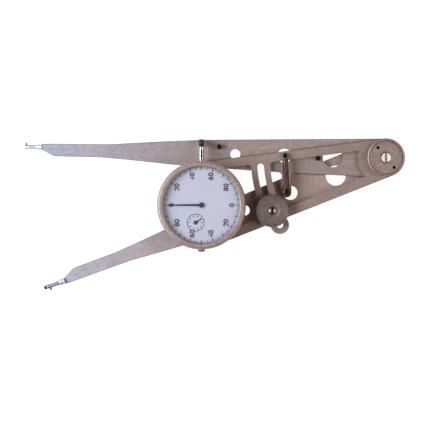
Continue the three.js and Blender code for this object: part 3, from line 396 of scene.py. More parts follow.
def grained(name, codes, roughness, turn, dark_patch=None):
    """Plate ground lengthwise: fine straight lines, clouding, stray scratches, and a darker patch at one
    place. The first colour is painted light at its far end, lighter and cooler as in the lamp's light,
    and the second is painted shade at its end by the dial, darker and warmer."""
    finish = Finish(name, Metallic=1.0)
    place = finish.place()
    along = finish.add("SeparateXYZ", None, {"Vector": place}, output="X")
    # Painted light and shade: the colour drifts from a lighter, cooler far end to a darker, warmer end by
    # the dial.
    painted_light_drift = finish.between(along, -ARM_REACH * MM, DIAL_X * 0.95 * MM)
    lines = finish.noise(finish.stretched(place, (45, 2400, 2400), -turn), 1.0, 4.0, 0.6)
    scratches = finish.noise(finish.stretched(place, (60, 1500, 60), 28 - turn), 1.0, 1.0)
    scratches = finish.between(scratches, 0.68, 0.74)
    clouds = finish.noise(place, 38.0, 3.0)
    mottle = finish.mottle(place)
    blend = lines * 0.35 + clouds * 0.3 + mottle * 0.35
    dark, light = (finish.mixed(painted_light_drift, *[tone(code, share) for code in codes]) for share in (0.5, 1.5))
    color = finish.mixed(blend, dark, light)
    color = finish.mixed(scratches * 0.35, color, tone(codes[1], 1.5))
    # Darkens the colour within a reach of one place, here round the lug's hook pin.
    if dark_patch:
        centre, reach = dark_patch
        gap = finish.vector("DISTANCE", place, centre, output="Value")
        darkening = finish.between(gap, reach, reach * 0.55) * (mottle * 0.4 + 0.5)
        color = finish.mixed(darkening, color, tone("1e1614"))
    finish.set(
        Base_Color=color,
        Roughness=roughness - 0.12 + lines * 0.1 + mottle * 0.08 + clouds * 0.06 - scratches * 0.1,
        Normal=finish.bump(lines, 0.14, 0.03),
    )
    return finish.material


def turned_metal(name, code, roughness, centre, depth=0.03):
    """Metal turned on a lathe: rings about a vertical axis, which throw the light in and out."""
    finish = Finish(name, Metallic=1.0)
    place = finish.place()
    offset = finish.vector("SUBTRACT", place, tuple(v * MM for v in (*centre, 0)))
    radius = finish.vector("LENGTH", finish.vector("MULTIPLY", offset, (1, 1, 0)), output="Value")
    level = finish.vector("DOT_PRODUCT", offset, (0, 0, 1), output="Value")
    along = finish.add("CombineXYZ", None, {"X": radius, "Z": level})
    rings = finish.noise(along, 4200.0, 2.0, 0.6)
    bands = finish.noise(along, 600.0, 1.0)
    mottle = finish.mottle(place)
    blend = rings * 0.25 + bands * 0.3 + mottle * 0.45
    finish.set(
        Base_Color=finish.mixed(blend, tone(code, 0.45), tone(code, 1.55)),
        Roughness=roughness - 0.08 + rings * 0.08 + mottle * 0.08,
        Normal=finish.bump(rings, 1.0, depth),
    )
    return finish.material


def plain_metal(name, code, roughness):
    """Small polished or blackened parts, with faint clouding and specks."""
    finish = Finish(name, Metallic=1.0)
    place = finish.place()
    clouds = finish.noise(place, 400.0, 3.0)
    specks = finish.noise(place, 3000.0, 2.0)
    finish.set(
        Base_Color=finish.mixed(clouds * 0.6 + specks * 0.4, tone(code, 0.82), tone(code, 1.18)),
        Roughness=roughness - 0.06 + clouds * 0.12,
        Normal=finish.bump(specks, 0.08, 0.02),
    )
    return finish.material


def wound_wire(name, code, roughness):
    """Wire with tarnish in its roughness and bumps, and dark and bright runs painted lengthwise of
    the spring as its highlights and shade.
    """
    finish = Finish(name, Metallic=1.0)
    place = finish.place()
    # Painted highlights and shade: bright and dark runs along the spring's length.
    painted_highlight_runs = finish.noise(finish.stretched(place, (1500, 160, 1500)), 1.0, 2.0, 0.6)
    painted_highlight_runs = finish.between(painted_highlight_runs, 0.36, 0.64)
    tarnish = finish.noise(place, 700.0, 3.0)
    finish.set(
        Base_Color=finish.mixed(painted_highlight_runs, tone(code, 0.22), tone(code, 1.7)),
        Roughness=roughness - 0.1 + tarnish * 0.2,
        Normal=finish.bump(tarnish, 0.1, 0.03),
    )
    return finish.material


def coating(name, code, roughness, spread):
    """Paint or enamel: even, with a faint mottle."""
    finish = Finish(name)
    place = finish.place()
    mottle = finish.noise(place, 500.0, 3.0) * 0.6 + finish.noise(place, 60.0) * 0.4
    finish.set(
        Base_Color=finish.mixed(mottle, tone(code, 1 - spread), tone(code, 1 + spread)),
        Roughness=roughness - 0.04 + mottle * 0.08,
        Normal=finish.bump(mottle, 0.05, 0.02),
    )
    return finish.material


def glass():
    """Thin clear glass: see-through, with a reflection that grows at a low angle."""
    finish = Finish("crystal_glass", IOR=1.45)
    rim = finish.add("LayerWeight", None, {"Blend": 0.5}, output="Facing")
    smears = finish.noise(finish.place(), 90.0, 2.0)
    finish.set(
        Base_Color=tone("c8ccd2"),
        Alpha=rim * rim * rim * 0.35 + smears * 0.04,
        Roughness=smears * 0.05 + 0.02,
    )
    return finish.material


def sky():
    """White to the camera, warm and dim in reflections, and grey as light from all round."""
    world = bpy.data.worlds.new("studio")
    world.use_nodes = True
    bpy.context.scene.world = world
    nodes = Nodes(world.node_tree)
    unseen = nodes.mixed(nodes.ray("Diffuse"), (0.14, 0.124, 0.112, 1), (0.3, 0.3, 0.31, 1))
    background = world.node_tree.nodes["Background"]
    nodes.feed(background.inputs["Color"], nodes.mixed(nodes.ray("Camera"), unseen, grey(1)))


def lamps():
    """Soft lamps, which look at the middle of the gauge."""
    for name, place, size, power, code in (
        ("key_softbox", (-0.76, 0.04, 0.57), 0.5, 7.6, "fff8f2"),
        ("end_softbox", (-0.43, -0.06, 0.3), 0.24, 0.8, "7cb0ff"),
        ("right_softbox", (0.42, -0.04, 0.6), 0.5, 2.5, "fff4ee"),
    ):
        lamp = bpy.data.lights.new(name, "AREA")
        lamp.size = size
        lamp.energy = power
        lamp.color = tone(code)[:3]
        stand = placed(name, lamp)
        stand.location = place
        aim = Vector((-0.11, -0.035, 0.01)) - stand.location
        stand.rotation_euler = aim.to_track_quat("-Z", "Y").to_euler()


def white_floor():
    """A floor that looks white, keeps the shadow and throws little light back."""
    reach = 2.0
    mesh = bpy.data.meshes.new("floor")
    corners = [(-reach, -reach, 0), (reach, -reach, 0), (reach, reach, 0), (-reach, reach, 0)]
    mesh.from_pydata(corners, [], [(0, 1, 2, 3)])
    floor = placed("floor", mesh)
    floor.location.z = cad_box[0][2]
    finish = Finish("floor_white", Roughness=1.0, Specular_IOR_Level=0.0, Emission_Strength=1.0)
    shown = finish.ray("Camera") + finish.ray("Glossy") + finish.ray("Transmission")
    shown = finish.add("Math", {"operation": "MINIMUM"}, {0: shown, 1: 1.0})
    finish.set(
        Base_Color=finish.mixed(shown, grey(0.8), grey(0.16)),
        Emission_Color=finish.mixed(shown, grey(0), grey(0.95)),
    )
    mesh.materials.append(finish.material)


def show(name, mesh, material, body, node, cut=None):
    """Puts a mesh in the scene as a piece that rides on a body and stands for a CAD node.
    Cut is the finish of a plate's walls. A mesh that has its finishes keeps them."""
    if not mesh.materials:
        mesh.materials.append(material)
        if cut:
            mesh.materials.append(cut)
    mesh.shade_smooth()
    mesh.set_sharp_from_angle(angle=math.radians(38))
    made = placed(name, mesh)
    even = made.modifiers.new("even", "WEIGHTED_NORMAL")
    even.keep_sharp = True
    if body:
        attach(made, body)
    if node:
        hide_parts(node)
    return made


def mesh_of(shape):
    """The finished mesh of a bmesh built in millimetres."""
    bmesh.ops.remove_doubles(shape, verts=shape.verts, dist=1e-5)
    bmesh.ops.recalc_face_normals(shape, faces=shape.faces)
    bmesh.ops.scale(shape, vec=(MM, MM, MM), verts=shape.verts)
    mesh = bpy.data.meshes.new("piece")
    shape.to_mesh(mesh)
    shape.free()
    return mesh


def joined(meshes):
    """One mesh of several. Their faces keep the numbers of their materials."""
    shape = bmesh.new()
    for mesh in meshes:
        shape.from_mesh(mesh)
    mesh = bpy.data.meshes.new("piece")
    shape.to_mesh(mesh)
    shape.free()
    return mesh


def arc(radius, first, last, steps, x=0.0, y=0.0):
    """Points of an arc, with its angles in degrees."""
    angles = [math.radians(first + (last - first) * i / steps) for i in range(steps + 1)]
    return [(x + radius * math.cos(a), y + radius * math.sin(a)) for a in angles]


def circle(radius, steps, x=0.0, y=0.0):
    """Points of a full circle, each of them once."""
    return arc(radius, 0, 360, steps, x, y)[:-1]


def turned_points(points, angle):
    """Points turned about the origin by an angle in degrees."""
    c, s = math.cos(math.radians(angle)), math.sin(math.radians(angle))
    return [(c * x - s * y, s * x + c * y) for x, y in points]


def flowing(points, steps=6):
    """A smooth line through a list of points."""
    out = []
    rows = [points[0], *points, points[-1]]
    for near in zip(rows, rows[1:], rows[2:], rows[3:]):
        for i in range(steps):
            t = i / steps
            shares = (
                (-t + 2 * t**2 - t**3) / 2,
                (2 - 5 * t**2 + 3 * t**3) / 2,
                (t + 4 * t**2 - 3 * t**3) / 2,
                (-(t**2) + t**3) / 2,
            )
            out.append(tuple(sum(s * v for s, v in zip(shares, values)) for values in zip(*near)))
    return [*out, points[-1]]


def filleted(corners, steps=8):
    """A closed outline from corners, each with its place and the radius that rounds it."""
    out = []
    for i, (x, y, fillet) in enumerate(corners):
        here = Vector((x, y))
        if not fillet:
            out.append((x, y))
            continue
        before = (Vector(corners[i - 1][:2]) - here).normalized()
        after = (Vector(corners[(i + 1) % len(corners)][:2]) - here).normalized()
        half = before.angle(after) / 2
        reach = fillet / math.tan(half)
        middle = here + (before + after).normalized() * fillet / math.sin(half)
        start = here + before * reach - middle
        sweep = start.angle_signed(here + after * reach - middle)
        for k in range(steps + 1):
            out.append(tuple(middle + Matrix.Rotation(-sweep * k / steps, 2) @ start))
    return out


def evaluated(made):
    """The mesh of an object with its bevel or its modifiers worked out."""
    bpy.context.view_layer.update()
    depsgraph = bpy.context.evaluated_depsgraph_get()
    return bpy.data.meshes.new_from_object(made.evaluated_get(depsgraph))


def wire(name, strokes, radius, matrix):
    """The finished mesh of round wire along strokes, drawn in millimetres. Each point of a stroke
    carries its own share of the radius."""
    curve = bpy.data.curves.new(name, "CURVE")
    curve.dimensions = "3D"
    curve.bevel_depth = radius
    curve.bevel_resolution = 2
    curve.use_fill_caps = True
    for stroke in strokes:
        spline = curve.splines.new("POLY")
        spline.points.add(len(stroke) - 1)
        for point, (x, y, z, share) in zip(spline.points, stroke):
            point.co = (x, y, z, 1)
            point.radius = share
    made = placed("drawn", curve)
    mesh = evaluated(made)
    bpy.data.objects.remove(made)
    shape = bmesh.new()
    shape.from_mesh(mesh)
    bmesh.ops.transform(shape, matrix=matrix, verts=shape.verts)
    return mesh_of(shape)


def inside(point, loops):
    """True in the material of a plate: within its outline and in none of its openings."""
    odd = False
    for loop in loops:
        for (ax, ay), (bx, by) in zip(loop, [*loop[1:], loop[0]]):
            if (ay > point[1]) != (by > point[1]):
                odd ^= point[0] < (bx - ax) * (point[1] - ay) / (by - ay) + ax
    return odd


def shrunk(loop, inset):
    """A closed loop moved towards its own inside."""
    points = [Vector(p) for p in loop]
    area = sum(a.x * b.y - b.x * a.y for a, b in zip(points, [*points[1:], points[0]]))
    inset = math.copysign(inset, area)
    moved = []
    for i, here in enumerate(points):
        before = (here - points[i - 1]).normalized()
        after = (points[(i + 1) % len(points)] - here).normalized()
        normals = [Vector((-d.y, d.x)) for d in (before, after)]
        moved.append(here + (normals[0] + normals[1]) * inset / (1 + normals[0].dot(normals[1])))
    return moved


def plate(loops, low, high, edge=EDGE, walls=0):
    """A flat plate between two heights, from its outline and its openings. Each of these narrows by
    the edge at both faces, and walls is the material index of its sides."""
    shape = bmesh.new()
    steps = ((edge, 0), (edge * 0.3, edge * 0.3), (0, edge)) if edge else ((0, 0),)
    section = [(inset, low + rise) for inset, rise in steps]
    section += [(inset, high - rise) for inset, rise in reversed(steps)]
    floor, roof, flat = [], [], []
    for loop in loops:
        rows = []
        for inset, z in section:
            rows.append([shape.verts.new((x, y, z)) for x, y in shrunk(loop, inset)])
        for lower, upper in zip(rows, rows[1:]):
            for k in range(len(loop)):
                wall = shape.faces.new((lower[k - 1], lower[k], upper[k], upper[k - 1]))
                wall.material_index = walls
        first = len(floor)
        flat += [(first + (k - 1) % len(loop), first + k) for k in range(len(loop))]
        floor += rows[0]
        roof += rows[-1]
    places = [v.co.to_2d() for v in floor]
    rims = []
    for start, loop in zip(itertools.accumulate([0, *map(len, loops)]), loops):
        rims.append([tuple(p) for p in places[start : start + len(loop)]])
    found = geometry.delaunay_2d_cdt(places, flat, [], 0, 1e-6)
    for corners in found[2]:
        if inside(sum((found[0][k] for k in corners), Vector((0, 0))) / len(corners), rims):
            ids = [found[3][k][0] for k in corners]
            shape.faces.new([floor[k] for k in ids])
            shape.faces.new([roof[k] for k in ids])
    return mesh_of(shape)


def eased(profile, radius):
    """A profile with its corners rounded."""
    out = [profile[0]]
    for before, here, after in zip(profile, profile[1:], profile[2:]):
        a, b, c = Vector(before[:2]), Vector(here[:2]), Vector(after[:2])
        reach = min(radius, (a - b).length / 2.5, (c - b).length / 2.5)
        start, end = b + (a - b).normalized() * reach, b + (c - b).normalized() * reach
        for t in (0, 1 / 3, 2 / 3, 1):
            point = start * (1 - t) ** 2 + b * (2 * t * (1 - t)) + end * t**2
            out.append((*point, *here[2:]))
    return [*out, profile[-1]]


def lathe(profile, steps=SMALL, edge=EDGE, x=0.0, y=0.0, matrix=None, teeth=0, depth=0.0):
    """A turned piece about Z. Rows of the profile that carry a third value are knurled to that share."""
    shape = bmesh.new()
    rows = []
    for radius, height, *share in eased(profile, edge) if edge else profile:
        row = []
        for k in range(steps):
            angle = 2 * math.pi * k / steps
            groove = 0.0
            if share:
                groove = depth * share[0] * (0.5 - 0.5 * math.cos(angle * teeth)) ** 0.7
            r = radius - groove
            row.append(shape.verts.new((r * math.cos(angle), r * math.sin(angle), height)))
        rows.append(row)
    for lower, upper in zip(rows, rows[1:]):
        for k in range(steps):
            shape.faces.new((lower[k], lower[k - 1], upper[k - 1], upper[k]))
    bmesh.ops.transform(shape, matrix=matrix or Matrix.Translation((x, y, 0)), verts=shape.verts)
    return mesh_of(shape)


def carved(mesh, material, *tools, walls=None):
    """A mesh with the room of some other meshes cut out of it. The walls of the cuts get a near-black
    finish as painted shade, or have a finish of their own."""
    mesh.materials.append(material)
    made = placed("carved", mesh)
    cutters = []
    for tool in tools:
        # Painted shade: cut walls are near-black unless a finish of their own is given.
        tool.materials.append(walls or CUT_SHADE_STEEL)
        cutters.append(placed("cutter", tool))
        cut = made.modifiers.new("cut", "BOOLEAN")
        cut.operation, cut.solver, cut.object = "DIFFERENCE", "EXACT", cutters[-1]
        cut.material_mode = "TRANSFER"
    result = evaluated(made)
    for spent in (made, *cutters):
        bpy.data.objects.remove(spent)
    return result


def block(width, depth, low, high, x=0.0, y=0.0):
    """A block with sharp edges, about a place."""
    w, d = width / 2, depth / 2
    return plate([[(x - w, y - d), (x + w, y - d), (x + w, y + d), (x - w, y + d)]], low, high, 0)


def ring(bore, outer, low, high):
    """The profile of a flat ring."""
    return [(bore, low), (outer, low), (outer, high), (bore, high), (bore, low)]


def levels(node):
    """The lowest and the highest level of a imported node."""
    low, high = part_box(node)
    return low[2] / MM, high[2] / MM


def middle(node):
    """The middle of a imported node, seen from above."""
    low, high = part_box(node)
    return (low[0] + high[0]) / 2 / MM, (low[1] + high[1]) / 2 / MM


def half_width(node):
    """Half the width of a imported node: the radius of a round one."""
    low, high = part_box(node)
    return (high[0] - low[0]) / 2 / MM


def along_stem(node):
    """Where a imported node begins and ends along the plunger, from the middle of the dial."""
    low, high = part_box(node)
    return low[1] / MM - DIAL_Y, high[1] / MM - DIAL_Y


def slotted(node, material, size, up=1, turn=0.0, walls=None):
    """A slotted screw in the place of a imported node, with its head at the top, or below for up = -1."""
    foot, high = levels(node) if up > 0 else reversed(levels(node))
    head, shank, dome = size["head"], size["shank"], up * size["dome"]
    low = high - up * size["rise"]
    profile = [(0, foot), (shank, foot), (shank, low), (head, low), (head, high - dome)]
    profile += [(head * share, high - dome * share**2) for share in (0.9, 0.75, 0.55, 0.35, 0.15)]
    place = middle(node)
    body = lathe([*profile, (0, high)], SMALL, 0.1, *place)
    ends = sorted((high - up * size["depth"], high + up * OVERRUN))
    slot = block(size["slot"], 3 * head, *ends)
    moved = Matrix.Translation(Vector((*place, 0)) * MM) @ Matrix.Rotation(math.radians(turn), 4, "Z")
    slot.transform(moved)
    return carved(body, material, slot, walls=walls)


def arm_outline(side):
    """The outline of an arm, with the lug and notch on the upper one."""

    def edge(shares):
        return [(-along * ARM_REACH, across * ARM_BOSS) for along, across in shares]

    outer = [(0, ARM_BOSS), *flowing(edge(ARM_OUTER_EDGE_SHARES))]
    inner = flowing([*edge(ARM_INNER_EDGE_SHARES), (0, -ARM_BOSS)])

    def on_edge(x):
        return x, min(inner, key=lambda point: abs(point[0] - x))[1]

    if side > 0:
        notch_x = -SLOT_REACH * math.cos(math.radians(SLOT_ANGLES[0]))
        left, right = notch_x - NOTCH_HALF, notch_x + NOTCH_HALF
        notch = arc(NOTCH_HALF, 180, 0, COARSE, notch_x, NOTCH_TOP - NOTCH_HALF)
        half = LUG_WIDTH / 2
        span = half + LUG_FILLET
        fillet = LUG_FILLET * 0.98
        lug = filleted([
            (*on_edge(-LUG_REACH - span), 0),
            (*on_edge(-LUG_REACH - half), fillet),
            *[(*point, 0) for point in arc(half, 180, 360, COARSE, -LUG_REACH, half - LUG_DROP)],
            (*on_edge(-LUG_REACH + half), fillet),
            (*on_edge(-LUG_REACH + span), 0),
        ])
        inner = [
            *[p for p in inner if p[0] < left],
            on_edge(left),
            *notch,
            on_edge(right),
            *[p for p in inner if right < p[0] < -LUG_REACH - span],
            *lug,
            *[p for p in inner if p[0] > -LUG_REACH + span],
        ]
    boss = arc(ARM_BOSS, -90, 90, SMALL)
    end = (-ARM_REACH, ARM_END_CUT_SHARE * ARM_BOSS)
    outline = [*boss[:-1], *outer, end, *inner[:-1]]
    return [(x, side * y) for x, y in outline]


def bar_line(side, reach, inset):
    """A point of the frame on a line along a bar, inset from the bar's outer edge."""
    offset = FRAME_BOSS - inset
    along = math.sqrt(reach * reach - offset * offset)
    return (
        offset * math.sin(FRAME_TAPER) - along * math.cos(FRAME_TAPER),
        side * (offset * math.cos(FRAME_TAPER) + along * math.sin(FRAME_TAPER)),
    )


def arc_between(start, end, steps, centre=0.0):
    """The shorter arc between two points, about a centre on the X axis."""
    first, last = (math.degrees(math.atan2(y, x - centre)) for x, y in (start, end))
    sweep = (last - first + 180) % 360 - 180
    radius = math.hypot(start[0] - centre, start[1])
    return arc(radius, first, first + sweep, steps, centre)


def frame_window(near, far, centre, near_fillet, far_fillet):
    """An opening between the bars, from a near arc about the pivot to a far arc about a centre."""
    near_up, near_down = bar_line(1, near, BAR_WIDTH), bar_line(-1, near, BAR_WIDTH)
    far_up, far_down = bar_line(1, far, BAR_WIDTH), bar_line(-1, far, BAR_WIDTH)

    def plain(points, fillet):
        skip = 2 if fillet else 1
        return [(*p, 0) for p in points[skip:-skip]]

    return filleted([
        (*near_up, near_fillet),
        (*far_up, far_fillet),
        *plain(arc_between(far_up, far_down, 24, centre), far_fillet),
        (*far_down, far_fillet),
        (*near_down, near_fillet),
        *plain(arc_between(near_down, near_up, 24), near_fillet),
    ])


def frame_loops():
    """Outline and openings of the dial frame."""

    def on_quadrant(reach, angle):
        return turned_points([(reach, 0)], angle)[0]

    half = math.degrees(FRAME_TAPER)
    start = 180 - FRAME_ANGLE
    first, last = (start + a for a in SLOT_ANGLES)
    band = SLOT_HALF + SLOT_RIB
    outline = arc(FRAME_BOSS, half - 90, 90 - half, 48)
    outline += arc(DIAL_PLATE, 90 - half, 270 + half, 96, -DIAL_DISTANCE)
    outline += arc_between(bar_line(-1, SLOT_REACH + band, 0), on_quadrant(SLOT_REACH + band, last), 8)
    outline += arc(band, last, last + 180, 24, *on_quadrant(SLOT_REACH, last))[1:-1]
    outline += arc_between(on_quadrant(SLOT_REACH - band, last), bar_line(-1, SLOT_REACH - band, 0), 8)
    slot = arc(SLOT_REACH + SLOT_HALF, first, last, 32)
    slot += arc(SLOT_HALF, last, last + 180, 16, *on_quadrant(SLOT_REACH, last))[1:]
    slot += arc(SLOT_REACH - SLOT_HALF, last, first, 32)[1:]
    slot += arc(SLOT_HALF, first + 180, first + 360, 16, *on_quadrant(SLOT_REACH, first))[1:-1]
    rim = DIAL_PLATE - BAR_WIDTH
    back = math.sqrt(DIAL_PLATE**2 - rim**2)
    reach = math.hypot(DIAL_DISTANCE * math.cos(FRAME_TAPER) - back, FRAME_BOSS - BAR_WIDTH)
    loops = [
        outline,
        slot,
        frame_window(WEB_REACH, SLOT_REACH - band, 0.0, 0, WINDOW_FILLET),
        frame_window(SLOT_REACH + band, reach, -DIAL_DISTANCE, WINDOW_FILLET, 0),
        circle(AXLE, SMALL),
        circle(PLATE_HOLE, FINE, -DIAL_DISTANCE),
    ]
    loops = [turned_points(loop, FRAME_ANGLE) for loop in loops]
    for i in (1, 2, 3):
        loops.append(circle(MOUNT_SCREW_HOLE, SMALL, *middle("gauge_mount_screw_%d" % i)))
    return loops


def make_plates():
    """Both arms and the frame, with walls and eased edges darker than their ground faces: painted edge
    shade.
    """
    for arm, side, turn, finish in (
        ("upper", 1, 0, ARM_STEEL),
        ("lower", -1, LOWER_ARM_ANGLE, LOWER_ARM_STEEL),
    ):
        holes = [circle(radius, SMALL, -reach, side * offset) for reach, offset, radius in ARM_HOLES]
        loops = [turned_points(loop, turn) for loop in (arm_outline(side), circle(AXLE, SMALL), *holes)]
        node = arm + "_arm"
        mesh = plate(loops, *levels(node), PLATE_EDGE, 1)
        show("measuring_arm_" + arm, mesh, finish, node, node, EDGE_SHADE_STEEL)
    mesh = plate(frame_loops(), *levels("dial_frame"), PLATE_EDGE, 1)
    show("frame_plate", mesh, FRAME_STEEL, "frame", "dial_frame", EDGE_SHADE_STEEL)


def make_pivot():
    """Axle with its flange, spanner nut, the screw in its recess, and the shims between the plates."""
    low, high = levels("pivot_axle")
    outer = half_width("pivot_axle")
    back = low + FLANGE_RISE
    profile = [
        (0, low + 0.5), (1.1, low), (2.9, low), (3.1, low + 0.35), (3.5, low + 0.35), (3.7, low),
        (outer - 0.35, low), (outer, low + 0.35), (outer, back), (AXLE, back), (AXLE, high), (0, high),
    ]
    show("pivot_spindle", lathe(profile, FINE, 0.06), PIVOT_STEEL, "frame", "pivot_axle")

    low, high = levels("pivot_nut")
    outer = half_width("pivot_nut")
    bore, face, groove, seat = AXLE + AXLE_FIT, outer - NUT_BEVEL, high - NUT_GROOVE, low + NUT_SEAT
    profile = [
        (bore, low), (outer, low), (outer, high - 1.0), (outer - 0.2, high - 0.75), (face, high - 0.4),
        (face - 0.05, groove), (face - 0.5, groove), (face - 0.55, high - 0.08), (face - 0.7, high),
        (NUT_RECESS + 0.3, high), (NUT_RECESS, high - 0.3), (NUT_RECESS, seat), (bore, seat), (bore, low),
    ]
    floor, top = high - SPANNER_DEPTH, high + OVERRUN
    drill = [(0, floor), (SPANNER_HOLE, floor + 0.3), (SPANNER_HOLE, top), (0, top)]
    places = [turned_points([(SPANNER_REACH, 0)], angle)[0] for angle in SPANNER_ANGLES]
    holes = [lathe(drill, COARSE, 0, *place) for place in places]
    nut = carved(lathe(profile, FINE), PIVOT_STEEL, *holes)
    show("spanner_nut", nut, PIVOT_STEEL, "frame", "pivot_nut")

    screw = slotted("pivot_screw", PLATED, NUT_SCREW, walls=PIVOT_STEEL)
    show("recess_screw", screw, PLATED, "frame", "pivot_screw")

    for place in ("rear", "lower", "upper", "front"):
        node = "pivot_shim_" + place
        mesh = lathe(ring(SHIM_BORE, half_width(node), *levels(node)), FINE, 0.05)
        show("brass_shim_" + place, mesh, BRASS, "frame", node)


def make_pins():
    """Pins of the spring's hooks, both stop pins, and the anvil that moves the plunger."""
    for name, node, body in (
        ("frame_hook_pin", "frame_spring_pin", "frame"),
        ("lug_hook_pin", "lug_spring_pin", "upper_arm"),
    ):
        low, high = levels(node)
        head, neck = half_width(node), high - HOOK_PIN_HEAD
        profile = [
            (0, low), (HOOK_PIN, low), (HOOK_PIN, neck), (head, neck), (head, high - 0.15),
            (HOOK_PIN, high), (0, high),
        ]
        mesh = lathe(profile, SMALL, 0.1, *middle(node))
        show(name, mesh, BLACKED, body, node)
    for name, node in (("rest_stop", "rest_stop_pin"), ("travel_stop", "travel_stop_pin")):
        low, high = levels(node)
        outer = half_width(node)
        profile = [(0, low), (outer, low), (outer, high - 0.4), (outer - 0.5, high), (0, high)]
        mesh = lathe(profile, SMALL, 0.25, *middle(node))
        show(name, mesh, BLACKED, "upper_arm", node)

    low, high = levels("anvil_post")
    outer, seat = half_width("anvil_post"), levels("upper_arm")[1]
    profile = [
        (0, low), (ANVIL_SHANK, low), (ANVIL_SHANK, seat), (outer, seat), (outer, high - ANVIL_DOME),
        (outer - 0.15, high - 0.75), (outer - 0.6, high - 0.3), (outer - 1.25, high - 0.05), (0, high),
    ]
    mesh = lathe(profile, SMALL, 0.1, *middle("anvil_post"))
    show("plunger_anvil", mesh, ANVIL_STEEL, "upper_arm", "anvil_post")
    place = middle("anvil_collar")
    corners = [(x, y, 0.2) for x, y in circle(half_width("anvil_collar") - 0.02, 6, *place)]
    mesh = plate([filleted(corners, 2), circle(outer + 0.03, SMALL, *place)], *levels("anvil_collar"))
    show("anvil_foot", mesh, BRIGHT, "upper_arm", "anvil_collar")


def make_clamp():
    """Stud with its washer, the knurled knob, and the screw in the knob."""
    place = middle("clamp_stud")
    low, high = levels("clamp_stud")
    seat, top = levels("lower_arm")[1], levels("upper_arm")[1]
    profile = [
        (0, low), (STUD, low), (STUD, seat), (STUD_COLLAR, seat), (STUD_COLLAR, top), (STUD, top),
        (STUD, high), (0, high),
    ]
    mesh = lathe(profile, SMALL, 0.1, *place)
    show("clamping_stud", mesh, BLACKED, "lower_arm", "clamp_stud")
    mesh = lathe(ring(KNOB_BORE, WASHER, *levels("clamp_washer")), FINE, 0.15, *place)
    show("flat_washer", mesh, BRIGHT, "lower_arm", "clamp_washer")

    low, high = levels("clamp_knob")
    outer, foot, floor = half_width("clamp_knob"), low + KNOB_FOOT_RISE, high - KNOB_RECESS_DEPTH
    profile = [
        (KNOB_BORE, low), (KNOB_FOOT, low), (KNOB_FOOT, foot), (outer - 0.7, foot),
        (outer - 0.25, foot + 0.5), (outer, foot + 0.9, 0), (outer, foot + 0.95, 1),
        (outer, high - 1.15, 1), (outer, high - 1.1, 0),
        (outer - 0.15, high - 0.55), (outer - 0.5, high - 0.1), (outer - 0.8, high), (outer - 1.15, high),
        (outer - 1.3, high - 0.3), (outer - 1.5, high - 0.3), (outer - 1.65, high - 0.08),
        (outer - 2.7, high - 0.08), (outer - 2.8, high - 0.25), (outer - 2.95, high - 0.25),
        (outer - 3.05, high - 0.1), (KNOB_RECESS + 2.0, high - 0.12), (KNOB_RECESS + 1.8, high - 0.3),
        (KNOB_RECESS, high - 0.36), (KNOB_RECESS, floor), (KNOB_BORE, floor), (KNOB_BORE, low),
    ]
    mesh = lathe(profile, KNOB_TEETH * 6, 0.08, *place, teeth=KNOB_TEETH, depth=KNOB_KNURL)
    show("knurled_knob", mesh, KNOB_STEEL, "clamp_knob", "clamp_knob")
    screw = slotted("knob_screw", DOMED, KNOB_SCREW)
    show("knob_centre_screw", screw, DOMED, "lower_arm", "knob_screw")


def make_tips():
    """Ferrule, shank and crosswise contact pin at the end of each arm. The lower tip ends black."""
    for arm, side, turn, overhang, finish, contact_finish, contact_slot in (
        ("upper", 1, 0, 0, PLATED, PIN_STEEL, "bright_steel"),
        ("lower", -1, LOWER_ARM_ANGLE, LOWER_SHANK_OVERHANG, TIP_STEEL, CONTACT_STEEL, "black_steel"),
    ):
        body = arm + "_arm"
        length = SHANK_LENGTH + overhang
        swing = Matrix.Rotation(math.radians(turn), 4, "Z")
        along = swing @ Matrix.Translation((-ARM_REACH, side * TIP_RISE, TIP_LEVEL))
        along = along @ Matrix.Rotation(-math.pi / 2, 4, "Y")
        profile = [
            (FERRULE_BORE, 0), (FERRULE - 0.25, 0), (FERRULE, 0.3), (FERRULE, 1.0), (FERRULE - 0.15, 1.15),
            (FERRULE - 0.15, 1.35), (FERRULE, 1.5), (FERRULE, FERRULE_LENGTH - 0.4),
            (FERRULE - 0.35, FERRULE_LENGTH), (FERRULE_BORE, FERRULE_LENGTH), (FERRULE_BORE, 0),
        ]
        mesh = lathe(profile, SMALL, 0.1, matrix=along)
        show(arm + "_ferrule", mesh, finish, body, arm + "_tip_ferrule")

        neck = length - NECK_LENGTH
        profile = [
            (0, 0), (SHANK, 0), (SHANK, neck - 0.3), (NECK, neck), (NECK, length - 0.3),
            (NECK - 0.3, length), (0, length),
        ]
        mesh = lathe(profile, matrix=along)
        if side < 0:
            mesh.materials.append(SHANK_STEEL)
            mesh.materials.append(BLACKED)
            for face in mesh.polygons:
                face.material_index = int(face.center.length > (ARM_REACH + neck) * MM)
        show(arm + "_shank", mesh, TIP_STEEL, body, arm + "_tip_shank")

        across = swing @ Matrix.Translation((-ARM_REACH - CONTACT_REACH, side * TIP_RISE, TIP_LEVEL))
        across = across @ Matrix.Rotation(-side * math.pi / 2, 4, "X")
        low, high = CONTACT_SPAN
        profile = [
            (0, low), (CONTACT, low), (CONTACT, high - 0.55), (CONTACT - 0.15, high - 0.15), (0, high),
        ]
        mesh = lathe(profile, COARSE, 0.15, matrix=across)
        show(arm + "_contact", mesh, contact_finish, body, arm + "_contact_pin")


